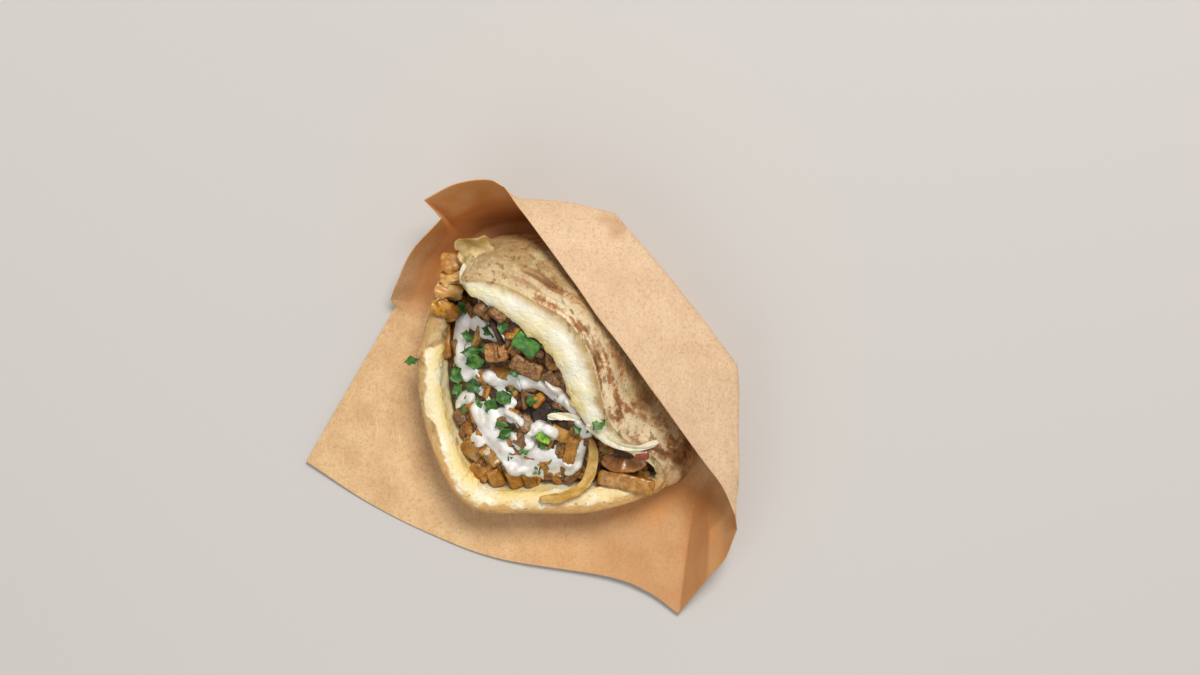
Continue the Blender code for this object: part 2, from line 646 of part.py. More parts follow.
def main():
    global parts, cutters
    clear_scene()
    parts = new_collection("doner kebab sandwich")
    cutters = new_collection("cutters")
    looks = {
        "crust": material("crust and crumb", (0.72, 0.52, 0.29), 0.75),
        "paper": material("kraft paper", (0.62, 0.36, 0.17), 0.85),
        "meat": material("grilled meat", (0.20, 0.08, 0.03), 0.5),
        "sauce": material("yoghurt sauce", (0.80, 0.78, 0.72), 0.25),
        "parsley": material("parsley", (0.03, 0.17, 0.03), 0.5),
        "pepper": material("green pepper", (0.06, 0.25, 0.04), 0.3),
        "onion": material("fried onion", (0.50, 0.28, 0.08), 0.25),
        "tomato": material("tomato", (0.50, 0.06, 0.02), 0.25),
        "spring": material("spring onion", (0.20, 0.50, 0.05), 0.4),
        "cabbage": material("white cabbage", (0.78, 0.78, 0.62), 0.4),
        "cooked": material("grilled vegetable", (0.45, 0.20, 0.05), 0.4),
        "leaf": material("pale leaf", (0.60, 0.56, 0.35), 0.4),
    }
    bread = make_bread(looks["crust"])
    heap, heap_surface = make_heap(looks)
    make_toppings(looks, heap_surface)
    make_bag(looks["paper"], bread)
    bread_cutter = new_collection("bread cutter")
    grown_copy(bread, GAP, bread_cutter)
    cut_away(heap, bread_cutter)
    cut_away(heap, cutters)
    keep_largest(heap)
    cut_away(bread, cutters)
    keep_largest(bread)


main()
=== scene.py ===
"""Looks of a doner kebab sandwich lying in its open kraft paper bag, seen from straight above.

Shapes are worked out in millimetres, from the same named sizes as the solids, and put into metres
as each mesh is made. Every surface is a function of two parameters on a grid, or a section carried
along a path, computed as whole arrays.
"""

import math

import bpy
import numpy as np
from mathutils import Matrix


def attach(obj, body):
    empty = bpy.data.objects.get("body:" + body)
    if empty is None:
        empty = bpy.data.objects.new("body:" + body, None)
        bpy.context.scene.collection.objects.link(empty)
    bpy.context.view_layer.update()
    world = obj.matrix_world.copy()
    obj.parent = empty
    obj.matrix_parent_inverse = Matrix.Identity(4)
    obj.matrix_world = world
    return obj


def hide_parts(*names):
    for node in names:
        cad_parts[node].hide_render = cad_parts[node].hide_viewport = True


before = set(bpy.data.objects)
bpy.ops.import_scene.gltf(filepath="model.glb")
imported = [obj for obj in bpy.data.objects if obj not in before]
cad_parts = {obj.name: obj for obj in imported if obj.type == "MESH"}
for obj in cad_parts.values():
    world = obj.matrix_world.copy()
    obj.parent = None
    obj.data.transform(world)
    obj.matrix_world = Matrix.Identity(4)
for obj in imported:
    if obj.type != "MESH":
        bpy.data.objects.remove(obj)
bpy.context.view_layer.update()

MM = 0.001

# The pocket's own axes in plan: out of the mouth, and along the mouth to its right-hand end.
MOUTH_TURN = math.radians(230)
OUT = np.array([math.cos(MOUTH_TURN), math.sin(MOUTH_TURN)])
ALONG = np.array([-OUT[1], OUT[0]])

BREAD_FLOOR = 1.0
BREAD_THICK = 12.0
CRUST_REAR = (-69, 5, 26)
POCKET_REAR = (-55, 3, 31)
POCKET_FLOOR = BREAD_FLOOR + BREAD_THICK
BREAD_DEPTH = 95.0
HEAP_MIDDLE = (-15, -28, 46)
HEAP_SWELL = (-42, 24, 10, 20)
TIP_SHARE = 0.17
TIP_FROM, TIP_TO = 45, 80
TIP_WIDEST = 0.75
SAUCE_FLOOR = 18
SCRAPS = 170
FLECKS = 38
PAPER_HALF = 0.2
PAPER_LIFT = 0.22
STAIN_PLACE = (25.5, 79.5)
CAMERA_PLACE = (0.01925, 0.0206, 0.952)

# The crust's edge round the mouth: x, y, z, width of the cut crumb in plan, its fall to the
# pocket's inside, and 1 on the upper layer or 0 on the lower one.
MOUTH_EDGE = [
    (55, -57, 28, 4, 0, 0.5),
    (52, -63, 27, 7, 0, 0.1),
    (44, -68, 27, 10, 0, 0),
    (30, -73, 27, 13, 0, 0),
    (10, -77, 27, 14, 0, 0),
    (-20, -77, 27, 13, 0, 0),
    (-46, -76, 28, 13, 0, 0),
    (-61, -66, 28, 13, 0, 0),
    (-73, -43, 28, 13, 0, 0),
    (-80, -18, 28, 13, 0, 0),
    (-82, 3, 28, 13, 0, 0),
    (-79, 21, 29, 12, 0, 0),
    (-74, 38, 30, 10, 0, 0),
    (-69, 52, 31, 8, 0, 0.05),
    (-60, 64, 34, 4, 0, 0.3),
    (-51, 69, 43, 2, 0, 0.6),
    (-50, 61, 56, 4, 2, 0.9),
    (-54, 52, 67, 9, 5, 1),
    (-44, 51, 71, 11, 6, 1),
    (-29, 47, 73, 13, 7, 1),
    (-14, 39, 75, 16, 8, 1),
    (0, 31, 76, 18, 9, 1),
    (10, 19, 76, 18, 9, 1),
    (16, 5, 74, 17, 9, 1),
    (20, -11, 70, 15, 9, 1),
    (25, -26, 62, 11, 7, 1),
    (35, -36, 52, 6, 4, 1),
    (45, -42, 45, 4, 2, 1),
    (52, -49, 36, 4, 1, 0.85),
]
COARSE_AROUND = 68

# The bag, as columns that run out from under the bread: x, y where the paper leaves the floor, then
# x, y, z of the middle or fold of the wall or flap, x, y, z of the cut edge, and 1 at a sharp crease.
BAG_COLUMNS = [
    (75, -65, 69.5, -95, 1.5, 64, -137, 3.0, 1),
    (79, -62, 80.5, -87, 20, 79, -114, 22, 1),
    (81, -59, 88, -79, 24, 88, -103, 27, 0),
    (83, -54, 93, -70, 31, 94.5, -85, 35, 1),
    (86, -48, 95, -60, 41, 93, -76, 45, 1),
    (87, -42, 95, -50, 43, 86, -61, 50, 0),
    (90, -25, 95, -30, 44, 75, -46, 56, 0),
    (91, -8, 95, -8, 45, 59, -24, 64, 0),
    (89, 4, 94, 6, 45, 46, -6, 69, 1),
    (74, 25, 73, 34, 49, 31, 15, 73, 0),
    (50, 55, 50, 62, 51, 18, 32, 74, 0),
    (27, 80, 27, 88, 52, 6, 49, 70, 1),
    (4, 87, 0, 94, 56, -13, 75, 66, 0),
    (-25, 87, -29, 96, 42, -32, 101, 62, 1),
    (-38, 85, -42, 96, 38, -41, 105, 62, 0),
    (-48, 81, -53, 92, 34, -58, 103, 58, 0),
    (-56, 75, -65, 85, 27, -76, 95, 50, 1),
    (-61, 70, -65, 79, 23, -67, 86, 44, 1),
    (-67, 62, -76, 66, 17, -84, 69, 35, 0),
    (-73, 50, -83, 51, 11, -94, 51, 24, 0),
    (-78, 38, -88, 41, 5, -99, 42, 11, 1),
    (-81, 29, -89, 33, 1.2, -97, 38, 5, 1),
    (-86, 5, -100, 3, 0.6, -118, 2, 4, 0),
    (-83, -28, -107, -30, 0.4, -136, -29, 3.5, 0),
    (-79, -43, -111, -46, 0.4, -148, -50, 3, 1),
    (-66, -64, -87, -69, 0.4, -112, -74, 1, 0),
    (-48, -77, -62, -84, 0.4, -77, -91.5, 1, 0),
    (-18, -80, -28, -92, 0.6, -38, -105.5, 2, 0),
    (22, -79, 22, -97, 1.4, 22, -115, 4.5, 0),
    (52, -72, 49, -98, 1.6, 46, -124, 4, 0),
]

# Strips in the heap: x, y to x, y, width, thickness, height above it, and which kind.
STRIPS = [
    (-46, 38, -40, 33, 9, 7, 1.5, "meat"),
    (-38, 37, -31, 31, 8, 6, 1.5, "meat"),
    (-10, 2, -4, -6, 8, 6, 1.5, "meat"),
    (-41, 3, -29, 0, 7, 4, 1.5, "golden"),
    (-47, 1, -41, -4, 6, 5, 2.0, "orange"),
    (-51, -15, -48, -26, 6, 5, 2.0, "orange"),
    (-31, -20, -25, -22, 5, 5, 1.5, "orange"),
    (-8, -29, 3, -34, 8, 5, 1.0, "golden"),
    (5, -33, 2, -48, 7, 6, 2.0, "orange"),
    (-24, -23, -18, -30, 8, 6, 0.5, "meat"),
    (-26, -33, -20, -37, 8, 6, 1.0, "meat"),
    (-57, -38, -46, -46, 9, 5, 0.5, "golden"),
    (-45, -40, -36, -49, 9, 5, 0.5, "golden"),
    (-52, -51, -42, -57, 9, 7, 1.5, "orange"),
    (-41, -52, -37, -60, 8, 7, 1.5, "orange"),
    (-30, -52, -27, -61, 8, 7, 1.5, "orange"),
    (-22, -53, -19, -61, 6, 6, 1.0, "golden"),
    (-67, 29, -66, 9, 6, 5, 1.5, "orange"),
    (-61, 19, -59, 10, 5, 4, 1.3, "meat"),
    (-60, -20, -56, -27, 6, 5, 0.5, "meat"),
    (1, -59, 8, -50, 6, 5, 1.0, "meat"),
    (18, -38, 27, -41, 6, 5, 0.5, "golden"),
    (24, -54, 34, -57, 7, 5, 0.5, "golden"),
    (40, -53, 46, -56, 6, 5, 0.5, "golden"),
    (3, -14, 8, -24, 7, 5, 0.5, "meat"),
]

# The two flakes of a side piece: rise and width as shares of the piece's, tilt and swing in degrees.
SIDE_FLAKES = [(-0.22, 1.15, 4, -8), (0.2, 0.9, -8, 16)]

# Yoghurt sauce: width and thickness of a band, then the places that its middle passes.
SAUCE_BANDS = [
    (15, 5, [(-59, 33), (-60, 25), (-57, 15), (-55, 3)]),
    (9, 4, [(-49, 28), (-44, 24), (-37, 21)]),
    (9, 5, [(-41, -1), (-32, -4), (-24, 1)]),
    (8, 5, [(-25, -5), (-16, -4), (-6, -9), (5, -17)]),
    (8, 4, [(-36, -5), (-30, -15)]),
    (7, 4, [(-53, -11), (-60, -16), (-63, -24), (-60, -31)]),
    (9, 4, [(-60, -31), (-51, -36), (-45, -31)]),
    (13, 5, [(-45, -20), (-40, -30), (-33, -41), (-27, -50)]),
    (12, 4, [(-19, -43), (-16, -55), (-3, -58)]),
    (11, 4, [(-17, -42), (-7, -46), (-2, -54)]),
    (6, 4, [(-1, -56), (7, -47), (11, -36)]),
    (9, 4, [(-14, -29), (-7, -31)]),
    (8, 6, [(8, -27), (11, -31)]),
]

# Thin runs of sauce between the bands, given in the same way.
SAUCE_THIN = [
    (7, 2.6, [(-42, -21), (-34, -21), (-25, -25)]),
    (10, 3.0, [(-34, -34), (-27, -39), (-22, -44)]),
    (6, 2.4, [(-50, 1), (-48, -3)]),
    (6, 2.4, [(-48, -8), (-43, -13), (-42, -20)]),
    (7, 2.6, [(-16, -31), (-20, -36)]),
    (6, 2.4, [(-4, -40), (-2, -44)]),
    (8, 2.8, [(-62, 28), (-61, 12)]),
    (7, 2.6, [(-24, -50), (-17, -47)]),
]

# Where the filling opens into a dark hollow, sunk and painted in shade: its middle and its two radii.
HOLLOW = (-12, -20.5, 14, 6.5)

# Torn tufts of crumb on the lip: x, y, how wide and how far they stand out.
TUFTS = [
    (-82.5, 11, 5, 2.4), (-50, -59, 3.5, 2.2), (-55, -55, 2.5, 1.6), (-11, 12, 2.5, 2.2), (-7, 4, 3, 1.6),
    (0, -9, 3.5, 2.0), (5, -14, 2.5, 1.8), (-20, 22, 2, 1.2),
]

# Chopped parsley on the heap: x, y, length, turn in degrees.
PARSLEY = [
    (-51, 13, 12, 10), (-49, 7, 12, 190), (-43, 15, 8, 60), (-60, 0, 11, 100), (-59, -9, 11, 300),
    (-50, -6, 11, 345), (-33, -12, 10, 20), (-40, -17, 11, 250), (-47, -15, 6, 110), (-55, -18, 8, 10),
    (-34, -26, 9, 330), (-32, -32, 11, 20), (-40, 24, 10, 340), (-33, 26, 8, 80), (-57, 37, 8, 300),
    (-53, 21, 9, 335), (-28, -7, 6, 35), (7, -29, 7, 300), (-26, 2, 8, 15), (-17, -13, 9, 20),
    (-15, -33, 8, 330), (-22, -41, 6, 5), (-29, 10, 8, 310), (-12, -38, 6, 20),
]

# Leaves of it that lie on the lip, in the same way.
LIP_PARSLEY = [(19, -26, 8.5, 40)]

# Larger pieces: name, middle line in plan, or with its height too, its height above the heap where
# the places give none, width, thickness, lean in degrees, look, shape (chunk, or a sheet with how
# far its edges curl up as a share of its half width) and the record's slot.
TOPPINGS = [
    ("green_pepper_chunk", [(-26, 21), (-20, 17), (-14, 13)], 3.0, 10, 4, 15, "pepper", 0, "green_pepper"),
    ("meat_cube", [(-42, 12), (-32, 13)], 3.0, 10, 9, 0, "cube", 0, "grilled_meat"),
    ("meat_slab", [(-28, 9), (-20, 4), (-12, 1)], 2.5, 9, 6, 8, "meat", 0, "grilled_meat"),
    ("onion_arc",
     [(14, -34, 46), (15, -44, 41), (14, -54, 37.5), (9, -62, 35.5), (-2, -67, 35.5), (-14, -68.5, 35.5)],
     0, 6.4, 2.6, 35, "onion", -0.2, "fried_onion"),
    ("golden_slice", [(21, -44), (28, -49), (37, -49), (44, -45)], 2.0, 9, 3, -10, "slice", 0, "fried_onion"),
    ("tomato_bit", [(38.5, -44, 46), (45.5, -43, 45)], 0, 5, 3.5, 0, "tomato", 0, "tomato"),
    ("grilled_strip", [(18, -56, 31), (33, -59, 33), (49, -63, 34)],
     0, 9, 4, 10, "grilled", 0, "grilled_vegetable"),
    ("spring_onion_strip", [(-15, -32), (-8, -36)], 4.5, 4.5, 1.6, 0, "spring", 0.3, "spring_onion"),
    ("cabbage_shred_left", [(-9, -22), (0, -22), (9, -22)], 5.0, 4, 2.0, 0, "cabbage", 0.3, "white_cabbage"),
    ("cabbage_shred_right",
     [(12, -26, 62), (21, -33.5, 59), (31, -38, 54.8), (42, -39, 50.2), (51, -36, 47.2)],
     0, 3.6, 2.0, 20, "cabbage", 0.3, "white_cabbage"),
    ("side_piece_top", [(-67, 60, 38), (-61, 62, 39.5), (-54, 63, 40)],
     0, 10, 6, 12, "side", -0.3, "grilled_vegetable"),
    ("side_piece_upper", [(-68, 52.5, 37), (-62, 54, 37), (-56, 55, 35.5)],
     0, 7.4, 5, -8, "peach", -0.3, "grilled_vegetable"),
    ("side_piece_middle", [(-71, 47, 37), (-65, 46.3, 36), (-58.5, 45, 33)],
     0, 8.4, 5.5, 8, "peach", -0.3, "grilled_vegetable"),
    ("side_piece_low", [(-72.5, 39, 37), (-67, 36, 35.5), (-61.5, 32.5, 33)],
     0, 9.4, 5, 15, "orange", -0.3, "grilled_vegetable"),
    ("pale_leaf", [(-58, 67.5, 46), (-52, 68, 49.5), (-45, 68.5, 52.5), (-38, 70, 54)],
     0, 14, 2.0, 20, "leaf", 0.45, "pale_leaf"),
]


# Numbers that look random but come out the same on every run

def lattice(cells, seed):
    """A repeatable number from 0 to 1 for each whole-number cell: products of primes, shifted and mixed."""
    ix, iy, iz = np.moveaxis(cells, -1, 0)
    mixed = (ix * 73856093) ^ (iy * 19349663) ^ (iz * 83492791) ^ (seed * 40503 + 977)
    mixed = (mixed ^ (mixed >> 13)) * 1274126177 & 0xFFFFFFFF
    mixed = (mixed ^ (mixed >> 15)) * 2246822519 & 0xFFFFFFFF
    return ((mixed ^ (mixed >> 16)) & 0xFFFFFF) / 0xFFFFFF


def soft_noise(points, size, seed=0):
    """Value noise from -1 to 1: the eight lattice values round a point, blended by a smooth step."""
    place = np.asarray(points, float) / size
    cell = np.floor(place).astype(np.int64)
    part = place - cell
    part = part * part * (3 - 2 * part)
    total = np.zeros(place.shape[:-1])
    for corner in np.ndindex(2, 2, 2):
        near = np.abs(1 - np.array(corner) - part)
        total += near[..., 0] * near[..., 1] * near[..., 2] * lattice(cell + corner, seed)
    return 2 * total - 1


def layered_noise(points, size, layers=3, seed=0):
    """Soft noise with finer layers added, each half the size and half the strength of the last."""
    total = sum(soft_noise(points, size / 2**k, seed + 7 * k) / 2**k for k in range(layers))
    return total / (2 - 2 ** (1 - layers))


def cell_distance(points, size, seed):
    """Distance to the nearest of one scattered point for each cell, in cells, and that cell's number."""
    place = np.asarray(points, float) / size
    cell = np.floor(place).astype(np.int64)
    nearest = np.full(place.shape[:-1], 9.0)
    owner = np.zeros(place.shape[:-1])
    for corner in np.ndindex(3, 3, 3):
        here = cell + np.array(corner) - 1
        spot = here + np.stack([lattice(here, seed + 11 * k) for k in range(3)], axis=-1)
        apart = np.linalg.norm(spot - place, axis=-1)
        owner = np.where(apart < nearest, lattice(here, seed + 77), owner)
        nearest = np.minimum(apart, nearest)
    return nearest, owner


def ease(low, high, value):
    """0 below low, 1 above high, and an S-shaped rise between them."""
    part = np.clip((value - low) / (high - low), 0, 1)
    return part * part * (3 - 2 * part)


# Curves and grids

def catmull_rom(places, at):
    """The cubic curve through places, at numbers along them: it meets place i + 1 at the number i."""
    first = np.minimum(at.astype(int), len(places) - 4)
    part = (at - first)[:, None]
    p0, p1, p2, p3 = (places[first + step] for step in range(4))
    return 0.5 * (
        2 * p1
        + (p2 - p0) * part
        + (2 * p0 - 5 * p1 + 4 * p2 - p3) * part**2
        + (3 * p1 - p0 - 3 * p2 + p3) * part**3
    )


def closed_curve(rows, count):
    """A Catmull-Rom curve through the rows and back to the first, evenly spaced in its length."""
    rows = np.asarray(rows, float)
    round_again = np.vstack([rows[-1:], rows, rows[:2]])
    curve = catmull_rom(round_again, np.linspace(0, len(rows), len(rows) * 24, endpoint=False))
    curve = np.vstack([curve, curve[:1]])
    along = np.concatenate([[0], np.cumsum(np.linalg.norm(np.diff(curve[:, :3], axis=0), axis=1))])
    places = np.linspace(0, along[-1], count, endpoint=False)
    return np.stack([np.interp(places, along, column) for column in curve.T], axis=1)


def open_curve(points, count):
    """A Catmull-Rom curve through a few places, from the first to the last."""
    points = np.asarray(points, float)
    padded = np.vstack([2 * points[0] - points[1], points, 2 * points[-1] - points[-2]])
    return catmull_rom(padded, np.linspace(0, len(points) - 1, count))


def round_the_loop(values, passes):
    """A closed loop of values smoothed as the coarse loop of the solid is, however fine it is."""
    for _ in range(int(passes * (len(values) / COARSE_AROUND) ** 2)):
        values = 0.5 * values + 0.25 * (np.roll(values, 1, axis=0) + np.roll(values, -1, axis=0))
    return values


def xyz(*parts):
    """Points from their three coordinates."""
    return np.stack(np.broadcast_arrays(*parts), axis=-1)


def travel(loop, axis=0):
    """The direction of travel at each point of a closed loop."""
    return np.roll(loop, -1, axis) - np.roll(loop, 1, axis)


def unit(vectors):
    return vectors / np.maximum(np.linalg.norm(vectors, axis=-1, keepdims=True), 1e-9)


def grid_normals(grid, up_at=None):
    """Normals of a grid of rings: the cross product of its two directions of travel. Where a place is
    given, all are turned so that the one there points up.
    """
    normals = unit(np.cross(travel(grid, 1), np.gradient(grid, axis=0)))
    return -normals if up_at and normals[up_at][2] < 0 else normals


def closed_shell(grid):
    """Points and faces of rings shut at both ends by a fan on the end ring's middle. The faces point
    outwards: they are turned round where the volume that they hold comes out below 0.
    """
    rows, columns = grid.shape[:2]
    points = np.vstack([grid.reshape(-1, 3), grid[0].mean(axis=0), grid[-1].mean(axis=0)])
    row = np.arange(rows - 1)[:, None] * columns
    near = np.arange(columns)
    beside = (near + 1) % columns
    last, pole = (rows - 1) * columns, rows * columns
    quads = np.stack([row + near, row + beside, row + columns + beside, row + columns + near], axis=-1)
    quads = quads.reshape(-1, 4)
    triangles = np.vstack([
        np.stack([beside, near, np.full(columns, pole)], axis=1),
        np.stack([last + near, last + beside, np.full(columns, pole + 1)], axis=1),
    ])
    corners = np.vstack([quads[:, [0, 1, 2]], quads[:, [0, 2, 3]], triangles])
    a, b, c = (points[corners[:, k]] for k in range(3))
    if np.einsum("ij,ij->i", a, np.cross(b, c)).sum() < 0:
        quads, triangles = quads[:, ::-1], triangles[:, ::-1]
    return points, quads, triangles


def put_object(name, data, place=(0, 0, 0)):
    made = bpy.data.objects.new(name, data)
    made.location = place
    bpy.context.scene.collection.objects.link(made)
    return made


def put_piece(name, shells, look, slot, node, **marks):
    """A smooth-shaded mesh of closed bodies at the origin, from grids in millimetres, that rides on
    the one body and stands for the node. The argument slot is not used.

    Marks are given on the one grid and carried on to its two end points. Many bodies have none, and
    each has its own number from 0 to 1 in the mark tone.
    """
    made = [closed_shell(grid) for grid in shells]
    counts = [len(points) for points, _, _ in made]
    starts = np.cumsum([0] + counts[:-1])
    faces = [face for start, (_, quads, _) in zip(starts, made) for face in (quads + start).tolist()]
    faces += [face for start, (_, _, fans) in zip(starts, made) for face in (fans + start).tolist()]
    for mark, values in marks.items():
        values = np.broadcast_to(values, shells[0].shape[:2])
        marks[mark] = np.concatenate([values.ravel(), [values[0].mean(), values[-1].mean()]])
    if not marks:
        tones = lattice(np.array([[i, 3, 5] for i in range(len(shells))]), 19)
        marks = {"tone": np.repeat(tones, counts)}
    mesh = bpy.data.meshes.new(name)
    mesh.from_pydata((np.vstack([points for points, _, _ in made]) * MM).tolist(), [], faces)
    for mark, values in marks.items():
        mesh.attributes.new(mark, "FLOAT", "POINT").data.foreach_set("value", np.asarray(values, np.float32))
    mesh.shade_smooth()
    mesh.materials.append(look)
    piece = put_object(name, mesh)
    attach(piece, "root")
    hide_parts(node)


# Materials

def srgb(colour):
    """A linear colour from the 0 to 255 values seen on a screen."""
    return tuple(((value / 255 + 0.055) / 1.055) ** 2.4 if value > 10 else value / 3294.6
                 for value in colour) + (1.0,)


class Look:
    """A node material under construction, with short calls for the nodes used here. Colours are
    other nodes' outputs, or three values from 0 to 255 as seen on a screen.
    """

    def __init__(self, name, roughness):
        self.material = bpy.data.materials.new(name)
        self.material.use_nodes = True
        self.tree = self.material.node_tree
        self.shader = self.tree.nodes["Principled BSDF"]
        self.shader.inputs["Roughness"].default_value = roughness
        self.place = self.tree.nodes.new("ShaderNodeTexCoord").outputs["Object"]

    def feed(self, socket, value):
        if hasattr(value, "is_output"):
            self.tree.links.new(value, socket)
        else:
            socket.default_value = value

    def add(self, kind, output, inputs, **settings):
        """The output of a new node with these settings and inputs."""
        node = self.tree.nodes.new("ShaderNode" + kind)
        for setting, value in settings.items():
            setattr(node, setting, value)
        for socket, value in inputs.items():
            self.feed(node.inputs[socket], value)
        return node.outputs[output]

    def mapped(self, scale, turn):
        """The object's own coordinates, stretched and turned."""
        return self.add("Mapping", "Vector", {"Scale": scale, "Rotation": turn, "Vector": self.place})

    def noise(self, size, detail=3.0, rough=0.55, bend=0.0, place=None):
        """Fractal noise whose largest patches are about size millimetres across."""
        return self.add("TexNoise", "Fac", {
            "Scale": 1 / (size * MM), "Detail": detail, "Roughness": rough, "Distortion": bend,
            "Vector": place or self.place,
        })

    def cells(self, size):
        """Distance to scattered points about size millimetres apart."""
        return self.add("TexVoronoi", "Distance", {"Scale": 1 / (size * MM), "Vector": self.place})

    def mark(self, name):
        """A number stored on the mesh's points."""
        return self.add("Attribute", "Fac", {}, attribute_name=name)

    def ramp(self, value, low, high):
        """0 below low, 1 above high, smooth between."""
        inputs = {"From Min": low, "From Max": high, "Value": value}
        return self.add("MapRange", "Result", inputs, interpolation_type="SMOOTHSTEP")

    def math(self, operation, first, second):
        return self.add("Math", "Value", {0: first, 1: second}, operation=operation)

    def mix(self, share, first, second):
        """Two colours mixed by a share."""
        first, second = (srgb(one) if isinstance(one, tuple) else one for one in (first, second))
        return self.add("Mix", "Result", {"Factor": share, "A": first, "B": second}, data_type="RGBA")

    def cover(self, colour, *layers):
        """A colour with others laid over it in turn: each with its share, or two numbers whose product
        is its share.
        """
        for over, share, *factor in layers:
            share = self.math("MULTIPLY", share, *factor) if factor else share
            colour = self.mix(share, colour, over)
        return colour

    def bump(self, height, depth, under=None):
        """Relief from a height of 0 to 1 that stands depth millimetres."""
        inputs = {"Strength": 1.0, "Distance": depth * MM, "Height": height}
        return self.add("Bump", "Normal", inputs if under is None else {**inputs, "Normal": under})

    def finish(self, colour, normal=None, **fixed):
        """Feeds the shader; fixed are constants set on its own sockets."""
        self.feed(self.shader.inputs["Base Color"], colour)
        if normal is not None:
            self.feed(self.shader.inputs["Normal"], normal)
        for socket, value in fixed.items():
            self.shader.inputs[socket.replace("_", " ")].default_value = value
        return self.material


def bread_look():
    """Cream crumb on the lip and inside, tan crust with scorched patches where it met the oven."""
    look = Look("crust and crumb", 0.68)
    fine = look.noise(2.0, 4.0, 0.62)
    specks = look.ramp(look.noise(1.5, 3.0, 0.5), 0.60, 0.72)
    dashes = look.noise(3.2, 3.0, 0.5, 0.0, look.mapped((1, 0.5, 1), (0, 0, 0.9)))
    toast, low = look.mark("toast"), look.mark("low")
    uneven = look.math("MULTIPLY", look.math("SUBTRACT", fine, 0.5), 0.5)
    level = look.math("ADD", look.mark("blotch"), uneven)
    blush, spots, chars = (look.math("MULTIPLY", look.ramp(level, *ends), toast)
                           for ends in ((0.38, 0.62), (0.51, 0.61), (0.63, 0.76)))
    crust = look.cover(
        look.mix(look.ramp(look.noise(24, 3.0), 0.36, 0.64), (194, 162, 108), (168, 132, 80)),
        ((216, 198, 150), look.ramp(look.noise(6, 4.0, 0.6), 0.44, 0.62), 0.65),
        ((242, 220, 180), look.mark("pale")),
        ((170, 128, 78), look.ramp(fine, 0.44, 0.76), 0.4),
        ((120, 92, 44), specks, 0.5),
        ((118, 92, 46), look.ramp(dashes, 0.56, 0.66), 0.7),
        # Painted light: the lower layer's crust lies in shade and is painted warmer and brighter.
        ((232, 176, 104), low, 0.8),
        ((178, 106, 50), look.mark("streak"), look.ramp(fine, 0.34, 0.56)),
        ((188, 132, 76), blush, 0.7),
        ((152, 98, 48), spots, 0.85),
        ((98, 60, 30), chars, 0.85),
        ((186, 120, 54), look.mark("edge"), look.ramp(fine, 0.42, 0.62)),
    )
    crumb = look.cover(
        look.mix(look.ramp(look.noise(12, 2.0), 0.35, 0.7), (255, 251, 232), (253, 241, 200)),
        ((224, 182, 98), low, look.ramp(look.noise(9, 3.0), 0.32, 0.6)),
        ((232, 202, 132), look.ramp(fine, 0.52, 0.8), 0.22),
        ((150, 98, 42), low, specks),
        ((240, 208, 118), look.mark("gold")),
        ((156, 100, 36), look.mark("stain")),
    )
    colour = look.mix(look.mark("crumb"), crust, crumb)
    pores = look.bump(look.ramp(look.cells(1.5), 0.0, 0.5), 0.14)
    relief = look.bump(look.noise(1.1, 4.0, 0.6), 0.28, pores)
    return look.finish(colour, relief, Subsurface_Weight=0.06, Subsurface_Scale=0.004)


def paper_look():
    """Brown kraft paper: cloudy pulp, fine grain and fibres, paler on the outside; painted shade and light
    bounced off the bread as a richer orange-brown inside; one brown stain that also carries painted shade.
    """
    look = Look("kraft paper", 0.82)
    cloud = look.ramp(look.noise(20, 5.0, 0.62), 0.3, 0.7)
    threads = look.noise(1.6, 3.0, 0.6, 0.0, look.mapped((1, 0.12, 1), (0, 0, 0.7)))
    inside = look.mix(cloud, (230, 192, 142), (212, 170, 120))
    outside = look.mix(cloud, (228, 194, 156), (216, 180, 142))
    colour = look.cover(
        look.mix(look.mark("outside"), inside, outside),
        ((168, 120, 74), look.ramp(look.noise(1.7, 5.0, 0.8), 0.46, 0.66), 0.42),
        ((250, 222, 186), look.ramp(threads, 0.56, 0.78), 0.35),
        ((134, 88, 50), look.ramp(look.noise(1.0, 2.0), 0.66, 0.74), 0.5),
        # Painted shade and light bounced off the bread: richer orange-brown on the inside behind and beside
        # the bread, near the front and in the side fold.
        ((212, 136, 62), look.mark("deep")),
        # The one real brown stain, with painted shade added in the side fold and at the lower right.
        ((180, 126, 78), look.mark("stain")),
    )
    relief = look.bump(look.noise(0.8, 4.0, 0.65), 0.06)
    return look.finish(colour, look.bump(look.noise(11, 3.0), 0.35, relief))


def meat_look(name, pale, deep):
    """Browned grilled meat: dark edges, porous tan faces, a little oil."""
    look = Look(name, 0.45)
    colour = look.mix(look.ramp(look.noise(2.2, 5.0, 0.65, 0.4), 0.38, 0.62), deep, pale)
    # The mark tone darkens a piece at random; in the filling's hollow it is painted shade.
    colour = look.cover(colour, (deep, look.mark("tone"), 0.5))
    relief = look.bump(look.ramp(look.cells(1.3), 0.05, 0.5), 0.3)
    relief = look.bump(look.noise(1.2, 4.0), 0.35, relief)
    return look.finish(colour, relief, Coat_Weight=0.2, Coat_Roughness=0.3)


def fried_look(name, pale, deep, burnt, roughness=0.32):
    """Oily fried vegetable: pale and deep patches, burnt along some edges, glossy."""
    look = Look(name, roughness)
    colour = look.cover(
        look.mix(look.ramp(look.noise(5, 4.0, 0.6, 0.5), 0.35, 0.68), deep, pale),
        (burnt, look.ramp(look.noise(3, 3.0), 0.55, 0.75), 0.7),
        (burnt, look.mark("tone"), 0.35),
    )
    fibres = look.bump(look.noise(0.9, 3.0, 0.6, 0.0, look.mapped((1, 0.2, 1), (0, 0, 0.9))), 0.15)
    return look.finish(colour, fibres, Coat_Weight=0.3, Coat_Roughness=0.2,
                       Subsurface_Weight=0.12, Subsurface_Scale=0.003)


